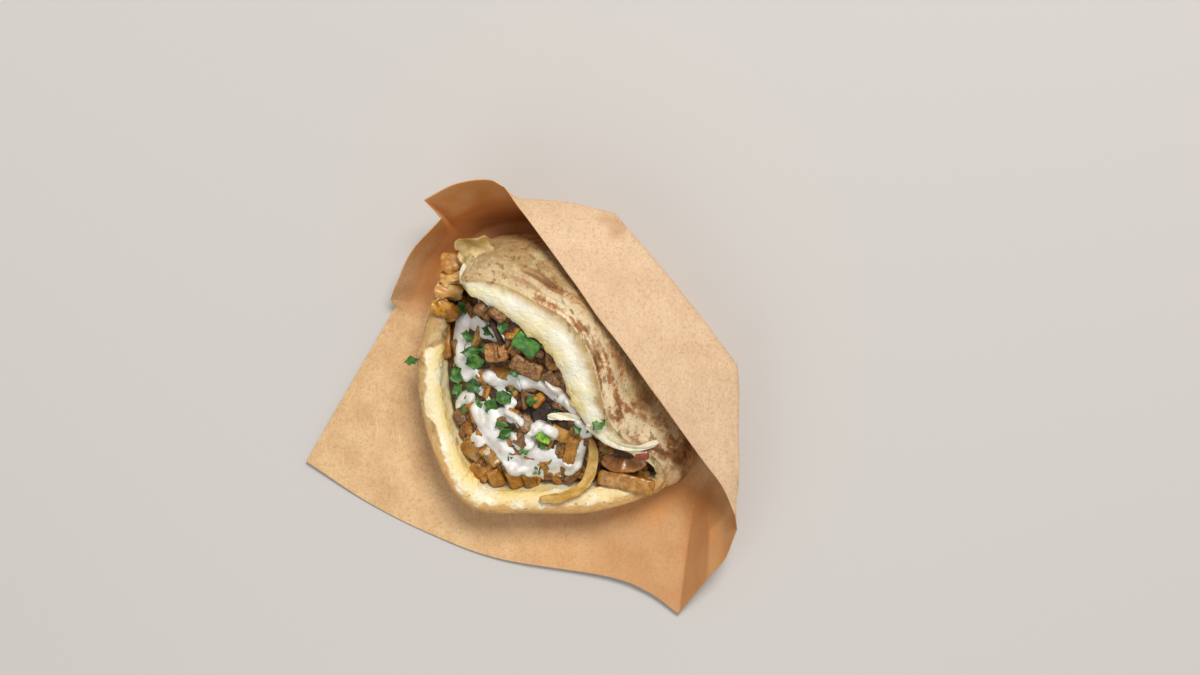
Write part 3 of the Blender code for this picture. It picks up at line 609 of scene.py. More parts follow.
def fresh_look(name, pale, deep, roughness=0.4, size=3.0):
    """Raw vegetable or leaf: two close greens or whites in soft patches, with fine veins."""
    look = Look(name, roughness)
    colour = look.mix(look.ramp(look.noise(size, 3.0), 0.35, 0.68), deep, pale)
    colour = look.cover(colour, (deep, look.mark("tone"), 0.5))
    veins = look.bump(look.noise(0.7, 2.0, 0.5), 0.08)
    return look.finish(colour, veins, Subsurface_Weight=0.1, Subsurface_Scale=0.002)


def sauce_look():
    """Thick white yoghurt sauce, faintly warm, with a soft wet gloss."""
    look = Look("yoghurt sauce", 0.28)
    colour = look.mix(look.ramp(look.noise(9, 2.0), 0.4, 0.7), (246, 243, 237), (224, 217, 204))
    # Greyer where thin: partly the food below showing through, partly painted shade at the edges.
    colour = look.cover(colour, ((206, 194, 176), look.mark("thin"), 0.6))
    relief = look.bump(look.noise(3.5, 2.0), 0.25)
    return look.finish(colour, relief, Subsurface_Weight=0.25, Subsurface_Scale=0.003, Coat_Weight=0.2,
                       Coat_Roughness=0.12)


# The food's looks: what each is called in full, and its colours from pale to dark; then, where they
# differ from the others', its roughness and the size of its patches.
LOOKS = [
    (meat_look, {
        # Near black: painted shade for the gaps between the filling's pieces.
        "core": ("filling in painted shade", (112, 68, 28), (44, 24, 10)),
        "meat": ("grilled meat", (168, 118, 60), (100, 64, 28)),
        "cube": ("grilled meat cube", (212, 150, 76), (146, 92, 42)),
    }),
    (fried_look, {
        "orange": ("fried pepper", (216, 154, 52), (162, 102, 22), (96, 54, 10)),
        "golden": ("golden vegetable", (198, 148, 62), (146, 96, 28), (92, 54, 14)),
        "side": ("browned vegetable", (226, 168, 84), (180, 116, 44), (122, 72, 24), 0.42),
        "peach": ("pale browned vegetable", (236, 192, 118), (208, 152, 78), (152, 100, 44)),
        "onion": ("fried onion", (240, 206, 122), (206, 158, 66), (160, 108, 38), 0.18),
        "slice": ("golden slice", (204, 142, 68), (156, 98, 40), (98, 54, 20), 0.14),
        "grilled": ("grilled strip", (204, 148, 62), (158, 102, 30), (98, 60, 16), 0.25),
        "tomato": ("tomato", (170, 78, 44), (132, 56, 30), (98, 44, 28), 0.3),
    }),
    (fresh_look, {
        "parsley": ("parsley", (96, 146, 50), (34, 82, 26)),
        "pepper": ("green pepper", (92, 150, 48), (44, 100, 26), 0.25),
        "spring": ("spring onion", (172, 208, 76), (110, 164, 44), 0.3),
        "cabbage": ("white cabbage", (248, 244, 226), (226, 214, 180), 0.3),
        "leaf": ("pale leaf", (232, 206, 150), (172, 136, 66), 0.45, 7.0),
    }),
]


# The bread

def pocket_surface(loop, upper, rear, floor, t, tip=0.0):
    """The pocket's wall over t, from 0 at the rear end to 1 at the mouth's loop.

    Along the mouth it widens as a rounded oval, 1-(1-t)^2.1 to the power 1/2.1. The upper layer
    climbs half as a circle, half straight; the lower one drops by a square to the floor, lies flat
    and curls up as a power 1.9 to its lip. The weight upper blends the two. The closed end right of
    the mouth stands out by the share tip, most at TIP_WIDEST: t cubed times 1-t, scaled to 1 there.
    """
    t = np.asarray(t, float)[:, None]
    out = loop[:, :2] @ OUT
    along = loop[:, :2] @ ALONG
    widen = (1 - (1 - t) ** 2.1) ** (1 / 2.1)
    reach = upper * t + (1 - upper) * (1 - (1 - t) ** 1.6)
    out = rear[0] + (out - rear[0]) * reach
    end = np.clip((along - TIP_FROM) / (TIP_TO - TIP_FROM), 0, 1) * (0.3 + 0.7 * np.clip(2 * upper, 0, 1))
    stand = (t / TIP_WIDEST) ** 3 * (1 - t) / (1 - TIP_WIDEST)
    along = rear[1] + (along - rear[1]) * widen * (1 + tip * end * stand)
    climb = 0.5 * np.sqrt(1 - (1 - t) ** 2) + 0.5 * t
    high = rear[2] + (loop[:, 2] - rear[2]) * climb
    drop = np.clip(1 - t / 0.32, 0, None) ** 2
    curl = np.clip((t - 0.62) / 0.38, 0, None) ** 1.9
    low = floor + (rear[2] - floor) * drop + (loop[:, 2] - floor) * curl
    height = upper * high + (1 - upper) * low
    return xyz(out * OUT[0] + along * ALONG[0], out * OUT[1] + along * ALONG[1], height)


def lip_surface(crust, crumb, upper, turn):
    """The lip over turn, 0 at the crust's edge to pi at the crumb's: half an oval across the cut face."""
    turn = np.asarray(turn, float)[:, None, None]
    across = crumb - crust
    up = np.cross(travel(crust), across)
    up = unit(up * np.sign(up[:, 2:3]))
    crown = (np.linalg.norm(across, axis=1) * (0.42 - 0.2 * upper))[:, None]
    return 0.5 * (crust + crumb) - 0.5 * across * np.cos(turn) + up * crown * np.sin(turn)


def mouth_loops(around):
    """The crust's edge, the crumb's inner edge and the upper-layer weight, all round the mouth."""
    curve = closed_curve(MOUTH_EDGE, around)
    crust = curve[:, :3]
    tangent = travel(crust)
    inward = round_the_loop(unit(np.stack([tangent[:, 1], -tangent[:, 0]], axis=1)), 3)
    crumb = crust.copy()
    crumb[:, :2] += inward * curve[:, 3:4]
    crumb[:, 2] -= curve[:, 4]
    upper = round_the_loop(np.clip(curve[:, 5], 0, 1), 2)
    return crust, round_the_loop(crumb, 2), upper


def bubbles(points, size, height):
    """A soft swelling of a surface, from three crossed sine waves."""
    x, y, z = np.moveaxis(np.asarray(points) / size, -1, 0) * math.pi
    return height * np.sin(x + 0.6 * y) * np.sin(y - 0.4 * z + 1.3) * np.cos(0.7 * z + 0.5 * x)


def make_bread(look):
    """The pocket's outside from the rear to the lip, over the lip and down inside, as one grid."""
    crust, crumb, upper = mouth_loops(560)
    outer_t = 1 - (1 - np.linspace(0.02, 1, 84)[:-1]) ** 1.35
    lip_turn = np.linspace(0, math.pi, 44)
    inner_t = np.linspace(0.99, 0.05, 26)
    grid = np.concatenate([
        pocket_surface(crust, upper, CRUST_REAR, BREAD_FLOOR, outer_t, TIP_SHARE),
        lip_surface(crust, crumb, upper, lip_turn),
        pocket_surface(crumb, upper, POCKET_REAR, POCKET_FLOOR, inner_t),
    ])
    lip, deep, outside = (np.concatenate(parts)[:, None] * np.ones(grid.shape[:2]) for parts in (
        (0 * outer_t, lip_turn / math.pi, 0 * inner_t + 1),
        (1 - outer_t, 0 * lip_turn, 1 - inner_t),
        (0 * outer_t + 1, 0 * lip_turn, 0 * inner_t),
    ))
    closed_end = ease(42, 58, crust[:, 0] - 0.25 * crust[:, 1] - 12)

    # The surface, pushed out along its normals.
    place = grid.copy()
    normals = grid_normals(grid, (len(outer_t) // 2, np.argmax(upper)))
    uneven = layered_noise(place, 7, 3, 5)
    inside = deep * (1 - outside)
    face = ease(0.05, 0.25, lip) * (1 - ease(0.0, 0.2, inside))
    free = ease(BREAD_FLOOR + 5, BREAD_FLOOR + 16, place[..., 2]) * outside
    grid[..., 2] += free * bubbles(grid, 17, 0.9)
    length = np.cumsum(np.linalg.norm(crust - np.roll(crust, 1, axis=0), axis=1))
    behind = deep * BREAD_DEPTH
    pleats = soft_noise(xyz(length / 6, behind + 2 * uneven, 0), 2.6, 17)
    pleated = np.exp(-((deep - 0.12) / 0.12) ** 2) * outside * upper
    push = 0.5 * soft_noise(place, 6, 9) * free + 0.22 * layered_noise(place, 1.8, 2, 12) * free
    push += 0.75 * pleats * pleated
    on_lip = ease(0.0, 0.2, lip) * (1 - ease(0.0, 0.1, inside))
    for x, y, wide, high in TUFTS:
        torn = np.hypot(place[..., 0] - x, place[..., 1] - y) / wide
        push += high * np.exp(-(torn**2)) * (1 + 0.6 * soft_noise(place, 1.5, 46)) * on_lip
    hollows, _ = cell_distance(place, 2.4, 31)
    push += face * (0.7 * soft_noise(place, 8, 3) + 0.3 * layered_noise(place, 1.8, 2, 4))
    push -= face * 0.5 * (1 - ease(0.05, 0.42, hollows))
    ragged = ease(0.72, 1.0, lip) * (1 - ease(0.0, 0.12, inside))
    push += ragged * (1.1 * layered_noise(place, 4.5, 3, 41) + 0.5 * soft_noise(place, 1.6, 42))
    grid += normals * push[..., None]

    # The marks that its look is mixed by.
    x, y = place[..., 0], place[..., 1]
    slant = x - 0.6 * y
    bare = ease(14, 27, crust[:, 1]) * ease(0.95, 0.8, upper)
    crust_width = 0.10 + 0.24 * (1 - upper) + 0.7 * closed_end + 1.2 * bare
    crumb_share = ease(0, 0.07 + 0.25 * upper, lip - crust_width * (1 + 0.8 * uneven))
    diagonal = ease(-70, -15, slant)
    behind_lip = ease(0.0, 0.05, deep) * ease(0.40, 0.14, deep)
    turn = 2 * math.pi * length / length[-1]
    radius = length[-1] / (2 * math.pi)
    ring = xyz(radius * np.cos(turn), radius * np.sin(turn), behind)
    drawn_out = ease(0, -45, slant)
    blotch = (1 - drawn_out) * layered_noise(ring * [0.6, 0.6, 1], 6.5, 3, 78)
    blotch = 0.5 + 0.55 * (blotch + drawn_out * layered_noise(ring * [0.22, 0.22, 1], 5.5, 3, 79))
    patches = ease(-0.35, 0.35, layered_noise(place, 18, 2, 77))
    toast = upper * (0.15 + behind_lip * (0.25 + 0.75 * diagonal)) + (1 - upper) * 0.6
    toast = np.clip(toast * (0.45 + 0.9 * patches), 0, 1) * outside
    pale = upper * ease(0.34, 0.08, deep) * (0.35 + 0.65 * diagonal) * outside * 0.9
    lines = soft_noise(ring * [0.2, 0.2, 1], 2.4, 18)
    streak = ease(0.05, 0.4, lines) * np.exp(-((deep - 0.05) / 0.045) ** 2) * upper * outside
    streak = streak * ease(-90, -60, slant) * (0.35 + 0.65 * ease(30, -20, slant))
    edge = np.exp(-((deep - 0.015) / 0.02) ** 2) * outside + ease(0.2, 0.0, lip) * (1 - outside)
    inward = 1 - ease(0.0, 0.3, inside)
    gold = ease(0.35, 0.85, lip) * ease(-0.6, 0.3, layered_noise(place, 14, 2, 52)) * inward * 0.85
    stain = ease(0.35, 0.6, layered_noise(place, 6, 3, 44)) * ease(0.75, 1.0, lip) * 0.8
    brown_mark = ease(3.4, 1.4, np.hypot(x + 54, (y - 46) / 1.4)) * ease(0.1, 0.3, lip)
    put_piece("flatbread", [grid], look, "bread", "flatbread_pocket",
              crumb=crumb_share, toast=toast, blotch=blotch, pale=pale, streak=streak, gold=gold,
              # low: the lower layer's own golden toast on the crumb, and painted light on its shaded crust.
              low=(1 - upper) * ease(1.0, 0.3, lip) * (0.35 + 0.5 * ease(-20, -55, y)),
              edge=np.clip(edge * (1 - upper), 0, 1), stain=np.maximum(stain * inward, 0.8 * brown_mark))


# The filling

class Heap:
    """The heap's top as a height over plan: its edge against the bread, by the direction from its
    middle, blended with the middle's height by the share of the way to the edge to the power 1.4.
    """

    def __init__(self):
        _, crumb, upper = mouth_loops(720)
        ring = pocket_surface(crumb, upper, POCKET_REAR, POCKET_FLOOR, [0.9])[0]
        ring = ring + unit(np.array([*HEAP_MIDDLE[:2], 40]) - ring) * 2.0
        away = ring[:, :2] - HEAP_MIDDLE[:2]
        turn = np.arctan2(away[:, 1], away[:, 0])
        order = np.argsort(turn)
        self.turn = turn[order]
        self.reach = np.linalg.norm(away, axis=1)[order]
        self.edge = ring[order, 2]

    def way_out(self, turn, values):
        return np.interp(turn, self.turn, values, period=2 * math.pi)

    def polar(self, x, y):
        """Share of the way from the middle to the edge, and the edge's height that way."""
        away_x = x - HEAP_MIDDLE[0]
        away_y = y - HEAP_MIDDLE[1]
        turn = np.arctan2(away_y, away_x)
        return np.hypot(away_x, away_y) / self.way_out(turn, self.reach), self.way_out(turn, self.edge)

    def height(self, x, y):
        x, y = np.asarray(x, float), np.asarray(y, float)
        share, edge = self.polar(x, y)
        blend = np.clip(share, 0, 1.2) ** 1.4
        height = edge * blend + HEAP_MIDDLE[2] * (1 - blend)
        apart = np.hypot(x - HEAP_SWELL[0], y - HEAP_SWELL[1]) / HEAP_SWELL[3]
        height = height + HEAP_SWELL[2] * np.exp(-(apart**2)) * (1 - np.clip(share, 0, 1) ** 4)
        return height + bubbles(xyz(x, y, height), 9, 1.2)

    def disc(self, shares, around):
        """Plan places on rings at shares of the way to the edge."""
        turn = np.linspace(-math.pi, math.pi, around, endpoint=False)
        reach = self.way_out(turn, self.reach)
        shares = np.asarray(shares, float)[:, None]
        return HEAP_MIDDLE[0] + shares * reach * np.cos(turn), HEAP_MIDDLE[1] + shares * reach * np.sin(turn)

    def any_place(self, draw, low, high):
        """A drawn place in plan, spread evenly between two shares of the area."""
        turn, share = draw.uniform(-math.pi, math.pi), math.sqrt(draw.uniform(low, high))
        reach = self.way_out(turn, self.reach) * share
        return HEAP_MIDDLE[0] + reach * math.cos(turn), HEAP_MIDDLE[1] + reach * math.sin(turn)


def section(sides, box):
    """An oval's two coordinates round its edge, squared off as box falls below 1."""
    angle = (np.arange(sides) + 0.5) * 2 * math.pi / sides
    return (np.sign(wave) * np.abs(wave) ** box for wave in (np.cos(angle), np.sin(angle)))


def end_shrink(count, taper, blunt):
    """Along a path, 1, and near both ends the last share taper falls as a quarter circle by blunt."""
    at = np.linspace(0, 1, count)
    ends = np.clip(np.minimum(at, 1 - at) / taper, 0, 1)
    return (1 - blunt) + blunt * np.sqrt(1 - (1 - ends) ** 2)


def swept(path, across, over, lean):
    """A section for each point of a path, from its offsets across the path and over it, leaned by
    degrees.
    """
    tangent = unit(np.gradient(path, axis=0))
    side = unit(np.cross([0, 0, 1], tangent))
    up = np.cross(tangent, side)
    lean = math.radians(lean)
    wide = across * math.cos(lean) - over * math.sin(lean)
    high = over * math.cos(lean) + across * math.sin(lean)
    return path[:, None, :] + wide[..., None] * side[:, None, :] + high[..., None] * up[:, None, :]


def strip(path, width, thick, sides, box, lean, taper, blunt):
    """An oval section carried along a path, flat side up, drawn in near each end."""
    shrink = end_shrink(len(path), taper, blunt)[:, None]
    across, over = section(sides, box)
    return swept(path, width / 2 * shrink * across, thick / 2 * shrink * over, lean)


def roughened(grid, size, height, seed):
    """A shell moved along its normals by layered noise."""
    normals = grid_normals(grid)
    if (normals * (grid - grid.mean(axis=(0, 1)))).sum() < 0:
        normals = -normals
    return grid + normals * (layered_noise(grid, size, 3, seed) * height)[..., None]


def lying(heap, plan, lift, count, flatten=0.5):
    """A path in plan laid on the heap at a lift, its rise and fall partly flattened."""
    path = open_curve(plan, count)
    height = heap.height(path[:, 0], path[:, 1]) + lift
    height = (1 - flatten) * height + flatten * height.mean()
    return np.column_stack([path, height])


def in_hollow(x, y):
    """1 in the middle of the dark hollow, falling to 0 past its rim."""
    return ease(1.15, 0.6, np.hypot((x - HOLLOW[0]) / HOLLOW[2], (y - HOLLOW[1]) / HOLLOW[3]))


def make_core(heap, look):
    """The heap's own body: the pocket's inside below, and on top lumps the size of the strips; the hollow
    painted in shade.
    """
    around = 420
    shares = np.linspace(1, 0.01, 84)
    x, y = heap.disc(shares, around)
    z = heap.height(x, y)
    top = xyz(x, y, z)
    lump, tone = cell_distance(top * [1, 1, 0.4], 6.5, 61)
    lumps = (1.6 - 3.2 * lump**1.6) * (1 - 0.7 * shares[:, None] ** 6)
    top[..., 2] += lumps + 0.5 * layered_noise(top, 2, 3, 8)
    top[..., 2] -= 2.6 * in_hollow(x, y)
    below_x, below_y = heap.disc([0.55, 0.8, 0.93, 0.985], around)
    lowest = POCKET_FLOOR + 1.0
    depth = lowest + (z[0] - lowest) * np.array([0.05, 0.1, 0.35, 0.7])[:, None]
    grid = np.concatenate([xyz(below_x, below_y, depth), top])
    # In the hollow the tone rises to 1.8: painted shade.
    tones = np.concatenate([0 * depth, np.maximum(tone, 1.8 * in_hollow(x, y))])
    put_piece("filling_core", [grid], look, "filling", "filling_heap", tone=tones)


def make_strips(heap, looks):
    """The strips of each kind, joined as one piece for each kind, and small scraps between them."""
    kinds = {"meat": [], "orange": [], "golden": []}
    for i, (x0, y0, x1, y1, width, thick, lift, kind) in enumerate(STRIPS):
        path = lying(heap, [(x0, y0), (x1, y1)], lift, 22, 0.0)
        grid = strip(path, width, thick, 24, 0.42, (i % 3 - 1) * 12, 0.12, 0.4)
        kinds[kind].append(roughened(roughened(grid, 6.0, 0.9, 100 + i), 2.0, 0.25, 140 + i))
    draw = np.random.default_rng(12)
    for i in range(SCRAPS):
        x, y = heap.any_place(draw, 0.02, 0.9)
        length, width = draw.uniform(5, 13), draw.uniform(2.5, 5.5)
        ahead = draw.uniform(0, math.pi)
        if in_hollow(x, y) > 0.3:
            continue
        step = 0.5 * length * np.array([math.cos(ahead), math.sin(ahead)])
        path = lying(heap, [(x - step[0], y - step[1]), (x + step[0], y + step[1])], 0.4, 10, 0.2)
        grid = strip(path, width, width * 0.6, 12, 0.5, draw.uniform(-30, 30), 0.16, 0.5)
        kind = ("meat", "meat", "golden", "orange")[int(draw.integers(4))]
        kinds[kind].append(roughened(grid, 2.2, 0.5, 300 + i))
    for kind, shells in kinds.items():
        put_piece("filling_" + kind + "_strips", shells, looks[kind], "filling", "filling_heap")


def strip_tops(heap, x, y):
    """Height of the heap with its named strips on it: for each strip, half an oval across its line."""
    top = heap.height(x, y)
    for x0, y0, x1, y1, width, thick, lift, _ in STRIPS:
        run = np.array([x1 - x0, y1 - y0], float)
        share = np.clip(((x - x0) * run[0] + (y - y0) * run[1]) / (run @ run), 0, 1)
        middle_x, middle_y = x0 + share * run[0], y0 + share * run[1]
        aside = np.hypot(x - middle_x, y - middle_y) / (width / 2)
        crown = heap.height(middle_x, middle_y) + lift + thick / 2 * np.sqrt(np.clip(1 - aside**4, 0, 1))
        top = np.where(aside < 1, np.maximum(top, crown), top)
    return top


def sauce_thickness(x, y):
    """How thick the sauce lies: each band is a round-backed arch across its path, the root of
    1-(d/half width)^2, with an outline made uneven by noise; a soft maximum joins the bands. Below 0
    there is none.
    """
    plan = xyz(x, y, 0)
    ragged = 1.2 * soft_noise(plan, 7.5, 21) + 0.5 * soft_noise(plan, 3.0, 22)
    total = np.zeros_like(x)
    for width, thick, places in SAUCE_BANDS + SAUCE_THIN:
        path = open_curve(places, 10 * len(places))
        nearest = np.full(x.shape, 1e9)
        for px, py in path:
            nearest = np.minimum(nearest, (x - px) ** 2 + (y - py) ** 2)
        aside = (np.sqrt(nearest) + ragged) / (width / 2)
        inside = np.sqrt(np.clip(1 - np.clip(aside, 0, 1) ** 2, 0, 1))
        arch = np.where(aside < 1, thick * inside, -3.0 * np.clip(aside - 1, 0, 1.5))
        total = total + np.exp(1.4 * arch)
    return np.log(total) / 1.4 - 0.5


def make_sauce(heap, look):
    """The sauce as one skin over the heap that sinks out of sight where there is none, but not below
    the height SAUCE_FLOOR in the heap's core.
    """
    x, y = heap.disc(np.linspace(0.97, 0.01, 150), 560)
    soft = strip_tops(heap, x, y)
    for _ in range(24):
        soft = 0.5 * soft + 0.25 * (np.roll(soft, 1, axis=1) + np.roll(soft, -1, axis=1))
        soft[1:-1] = 0.5 * soft[1:-1] + 0.25 * (soft[:-2] + soft[2:])
    plan = xyz(x, y, 0)
    rim = heap.polar(x, y)[0] + 0.05 * soft_noise(plan, 6.0, 27)
    thick = sauce_thickness(x, y) - 4 * ease(0.84, 0.97, rim)
    z = soft + 0.9 * thick + 0.9 * soft_noise(plan, 6.0, 23) + 0.3 * soft_noise(plan, 2.6, 25) - 0.6
    z = np.maximum(np.where(thick < 0, z + 2.2 * thick, z), SAUCE_FLOOR)
    top = xyz(x, y, z)
    # Where the sauce runs thin, for its grey: see-through and painted shade.
    thin = ease(1.8, 0.2, thick)
    put_piece("yoghurt_sauce", [np.concatenate([top[:1] - [0, 0, 5], top])], look, "filling", "filling_heap",
              thin=np.concatenate([0 * thin[:1] + 1, thin]))


def leaf_grid(length, width, corners, curl, thick=0.3, count=18, across=10):
    """A chopped leaf as a closed shell of rings along its length.

    Each side's half width runs straight between corners, given as shares of the full width; the leaf
    folds up from the middle vein as the cross place to the power 1.5, and curls along.
    """
    s = np.linspace(0.0, 1.0, count)
    c = np.linspace(-1, 1, across)[None, :]
    at = np.linspace(0, 1, corners.shape[1] + 2)
    left, right = (np.interp(s, at, [0.03, *side, 0.03])[:, None] for side in corners)
    half = width / 2 * np.where(c < 0, left, right)
    s = s[:, None]
    x = length * (s - 0.5) + 0.12 * length * np.abs(c) * (1 - 2 * s)
    y = half * c
    z = 0.14 * width * np.abs(c) ** 1.5 * (0.6 + 0.4 * np.sin(3 * s)) + curl * length * (s - 0.5) ** 2
    z = z + 0.04 * length * np.sin(5 * s + 2 * c)
    return np.concatenate([xyz(x, y, z + thick / 2), xyz(x, y, z - thick / 2)[:, ::-1]], axis=1)


def turned(grid, heading, pitch, roll, place):
    """A grid turned by roll, pitch and heading in degrees and moved to its place."""
    h, p, r = (math.radians(value) for value in (heading, pitch, roll))
    about_x = np.array([[1, 0, 0], [0, math.cos(r), -math.sin(r)], [0, math.sin(r), math.cos(r)]])
    about_y = np.array([[math.cos(p), 0, math.sin(p)], [0, 1, 0], [-math.sin(p), 0, math.cos(p)]])
    about_z = np.array([[math.cos(h), -math.sin(h), 0], [math.sin(h), math.cos(h), 0], [0, 0, 1]])
    return grid @ (about_z @ about_y @ about_x).T + np.asarray(place, float)


def cover_height(heap, x, y):
    """The top of heap, strips or sauce at a place, whichever is highest."""
    x, y = np.asarray(x, float), np.asarray(y, float)
    thick = sauce_thickness(x, y)
    sauce = heap.height(x, y) + 0.95 * thick
    return np.maximum(strip_tops(heap, x, y), np.where(thick > 0, sauce, -99))


def lip_height(x, y):
    """The lip's top near a place in plan."""
    points = lip_surface(*mouth_loops(360), np.linspace(0, math.pi, 24)).reshape(-1, 3)
    apart = np.hypot(points[:, 0] - x, points[:, 1] - y)
    return points[apart < apart.min() + 1.5, 2].max()


def make_parsley(heap, look):
    """Chopped parsley leaves, and tiny flecks of it, tilted as they fell."""
    draw = np.random.default_rng(5)
    shells = []
    for x, y, length, heading in PARSLEY + LIP_PARSLEY:
        on_lip = (x, y, length, heading) in LIP_PARSLEY
        z = lip_height(x, y) + 1.0 if on_lip else float(cover_height(heap, [x], [y])[0]) + 1.1
        corners = draw.uniform(0.35, 1.0, (2, 4))
        leaf = leaf_grid(length * 1.15, length * draw.uniform(0.75, 1.0), corners, draw.uniform(-0.3, 0.5))
        shells.append(turned(leaf, heading, draw.uniform(-18, 18), draw.uniform(-22, 22), (x, y, z)))
    for _ in range(FLECKS):
        x, y = heap.any_place(draw, 0.0, 0.75)
        z = float(cover_height(heap, [x], [y])[0]) + 0.5
        length = draw.uniform(1.5, 4.5)
        leaf = leaf_grid(length, length * 0.6, draw.uniform(0.4, 1.0, (2, 2)), 0.2, 0.2, 7, 5)
        heading, pitch, roll = draw.uniform(0, 360), draw.uniform(-15, 15), draw.uniform(-20, 20)
        shells.append(turned(leaf, heading, pitch, roll, (x, y, z)))
    put_piece("parsley", shells, look, "filling", "filling_heap")


def curled_sheet(path, width, thick, lean, curl, seed):
    """A thin ragged sheet carried along a path: across it the edges rise as curl times the square of
    the way out, its half width wavers with layered noise, and both faces close into one shell.
    """
    at = np.linspace(0, 1, len(path))
    across = np.linspace(-1, 1, 14)[None, :]
    edge = xyz(at * 40 + 7 * across.T, 5 * across.T, seed)
    waver = 1 + min(0.4, 1.6 / width) * layered_noise(edge, 5, 3, seed).T
    half = width / 2 * end_shrink(len(path), 0.14, 0.7)[:, None] * waver
    rise = curl * (across**2 - 0.4) * width / 2 + 0.3 * min(thick, 2.5) * np.sin(9 * at[:, None] + 3 * across)
    face = 0.35 * thick * np.sqrt(1 - 0.8 * across**2)
    top, under = (swept(path, half * across, rise + height, lean) for height in (face, -face))
    return np.concatenate([top, under[:, ::-1]], axis=1)


def make_toppings(heap, looks):
    """The larger pieces, each in place of its solid. The pieces at the side are two flakes each."""
    for i, (name, places, lift, width, thick, lean, look, curl, slot) in enumerate(TOPPINGS):
        count = 48
        path = lying(heap, places, lift, count) if len(places[0]) == 2 else open_curve(places, count)
        if name.startswith("side_piece"):
            shells, marks = [], {}
            for k, (rise, wide, tilt, swing) in enumerate(SIDE_FLAKES):
                middle = path.mean(axis=0)
                run = turned((path - middle) * 1.2, swing, 0, 0, middle + [0.6, 0, rise * thick])
                shells.append(curled_sheet(run, width * wide, 2.2, lean + tilt, 0.7 * curl, 500 + 9 * i + k))
        elif curl:
            shells = [curled_sheet(path, width, thick, lean, curl, 500 + i)]
            across = np.linspace(-1, 1, shells[0].shape[1])
            marks = {"tone": 1 - ease(0.2, 0.9, np.abs(across))}
        else:
            grid = strip(path, width, thick, 36, 0.45, lean, 0.1, 0.45)
            grid = roughened(grid, 6.5, min(0.8, 0.12 * thick + 0.2), 500 + i)
            shells, marks = [roughened(grid, 1.8, 0.25, 540 + i)], {"tone": 0.2}
        put_piece(name + "_piece", shells, looks[look], slot, name, **marks)
    leaf = leaf_grid(10, 6, np.array([[0.9, 0.5, 0.8], [0.6, 1.0, 0.5]]), 0.3)
    leaf = turned(leaf, 12, -14, 8, (-84.5, 8, 33.3))
    put_piece("parsley_outside_piece", [leaf], looks["parsley"], "parsley", "parsley_outside", tone=0.4)


# The bag

def bag_columns(count):
    """The columns' base, fold and edge along the bag, curved between creases and sharp at them."""
    rows = np.insert(np.array(BAG_COLUMNS, float)[:, :-1], 2, 0.0, axis=1)
    creases = [i for i, row in enumerate(BAG_COLUMNS) if row[-1]]
    stretches = []
    for first, last in zip(creases, creases[1:] + [creases[0] + len(rows)]):
        stretch = rows[np.arange(first, last + 1) % len(rows)]
        stretches.append(open_curve(stretch, count * (last - first) + 1)[:-1])
    return np.vstack(stretches)


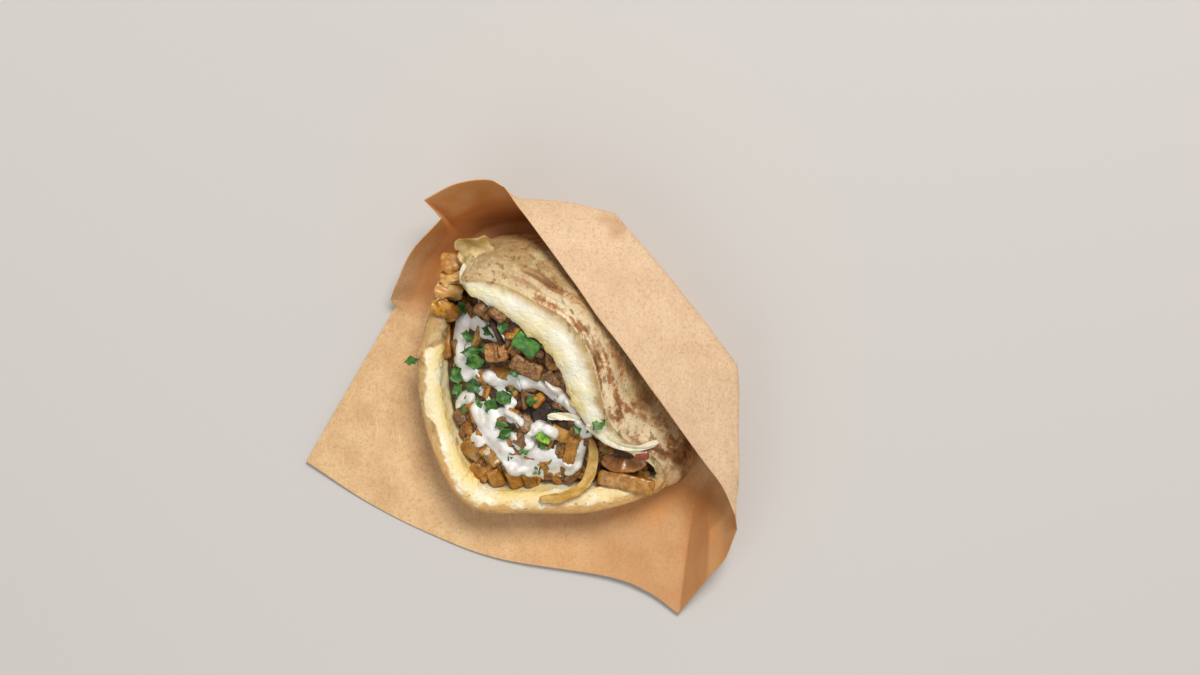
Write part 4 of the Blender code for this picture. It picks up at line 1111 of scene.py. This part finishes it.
def make_bag(look):
    """The bag's one sheet: from its middle out over the floor, up the wall or along the flap to the
    fold, and on to the cut edge, then given its two faces by moving it both ways along its normals.
    """
    rows = bag_columns(14)
    base, fold, edge = rows[:, 0:3], rows[:, 3:6], rows[:, 6:9]
    floor_part = np.linspace(0.06, 1, 16)[:-1, None, None]
    wall_part = np.linspace(0, 1, 26)[:-1, None, None]
    flap_part = np.linspace(0, 1, 34)[:, None, None]
    sheet = np.concatenate([
        base * floor_part,
        base + (fold - base) * wall_part,
        fold + (edge - fold) * flap_part,
    ]) + [0, 0, PAPER_LIFT]
    for _ in range(2):
        sheet[1:-1] = 0.5 * sheet[1:-1] + 0.25 * (sheet[:-2] + sheet[2:])
    on_floor = (8, 0)
    crumple = 0.5 * soft_noise(sheet, 24, 71) + 0.25 * soft_noise(sheet, 9, 72)
    crumple = crumple * ease(0.5, 6, sheet[..., 2])
    sheet = sheet + grid_normals(sheet, on_floor) * crumple[..., None]
    normals = grid_normals(sheet, on_floor) * PAPER_HALF
    grid = np.concatenate([sheet + normals, (sheet - normals)[::-1]])
    outside = np.repeat([0.0, 1.0], len(sheet))[:, None]

    # The marks that its look is mixed by: painted shade and light bounced off the bread, as a richer colour,
    # on the wall behind the bread, beside the bread, near the front and in the side fold; painted shade at
    # the lower right and in the side fold; and the one stain on the panel.
    x, y, z = np.moveaxis(grid, -1, 0)
    apart = grid[..., :2] - STAIN_PLACE
    down, aside = apart @ np.array([0.68, -0.73]), apart @ np.array([0.73, 0.68])
    spot = np.hypot(down / 1.5, aside) + 5.0 * layered_noise(grid, 8, 3, 90)
    # Painted shade and bounced light: the wall behind the bread, the flap beside it, the flap near the front
    # and the side fold.
    wall = ease(-6, 4, z) * ease(-110, -60, x) * ease(46, 64, y + 0.25 * z - 0.25 * x)
    beside = ease(30, 4, np.hypot((x - 45) / 1.7, y + 66)) * ease(34, 20, z)
    near = 0.3 * ease(-50, -105, y) * ease(-60, 0, x)
    side_fold_shade = ease(62, 74, x) * ease(-56, -72, y)
    deep = np.clip(0.95 * wall + 0.7 * beside + near + 0.5 * side_fold_shade * (1 - outside), 0, 1)
    # Painted shade at the lower right; it and the side fold's painted shade go into the stain mark.
    shaded = ease(-10, 30, x) * ease(-75, -95, y)
    stain = 0.5 * ease(6.5, 1.5, spot) * ease(40, 46, z)
    put_piece("kraft_bag", [grid], look, "kraft_paper", "kraft_paper_bag", outside=outside,
              # deep: painted shade and bounced light; stain: the real spot plus painted shade.
              deep=deep * (1 - outside) * (0.85 + 0.3 * soft_noise(grid, 9, 88)),
              stain=stain + (0.15 * side_fold_shade + 0.4 * shaded) * (1 - outside))


# Floor, light and camera

def make_stage():
    bpy.ops.mesh.primitive_plane_add(size=6)
    floor = bpy.context.object
    floor.name = "floor"
    look = Look("pale floor", 0.9)
    shade = look.mix(look.ramp(look.noise(900, 1.0), 0.3, 0.7), (202, 197, 192), (205, 200, 195))
    floor.data.materials.append(look.finish(shade))


def area_light(name, place, size, power, colour):
    """A round light that shines at the origin."""
    light = bpy.data.lights.new(name, "AREA")
    light.shape = "DISK"
    light.size = size
    light.energy = power
    light.color = colour
    x, y, z = place
    turn = (math.acos(z / math.hypot(x, y, z)), 0, math.atan2(x, -y))
    put_object(name, light, place).rotation_euler = turn


def light_and_camera():
    area_light("key", (0.45, 1.0, 2.0), 0.9, 39, (1.0, 0.985, 0.96))
    area_light("fill", (-0.9, -0.9, 1.6), 1.6, 7, (1.0, 0.98, 0.96))
    world = bpy.data.worlds.new("studio")
    world.use_nodes = True
    background = world.node_tree.nodes["Background"].inputs
    background["Color"].default_value = (0.95, 0.97, 1.0, 1)
    background["Strength"].default_value = 0.38
    camera = bpy.data.cameras.new("camera")
    camera.lens = 50
    camera.sensor_width = 36
    scene = bpy.context.scene
    scene.world = world
    scene.camera = put_object("camera", camera, CAMERA_PLACE)
    scene.view_settings.view_transform = "Standard"


def main():
    looks = {name: make(*row) for make, rows in LOOKS for name, row in rows.items()}
    make_bread(bread_look())
    heap = Heap()
    make_core(heap, looks["core"])
    make_strips(heap, looks)
    make_sauce(heap, sauce_look())
    make_parsley(heap, looks["parsley"])
    make_toppings(heap, looks)
    make_bag(paper_look())
    make_stage()
    light_and_camera()


main()
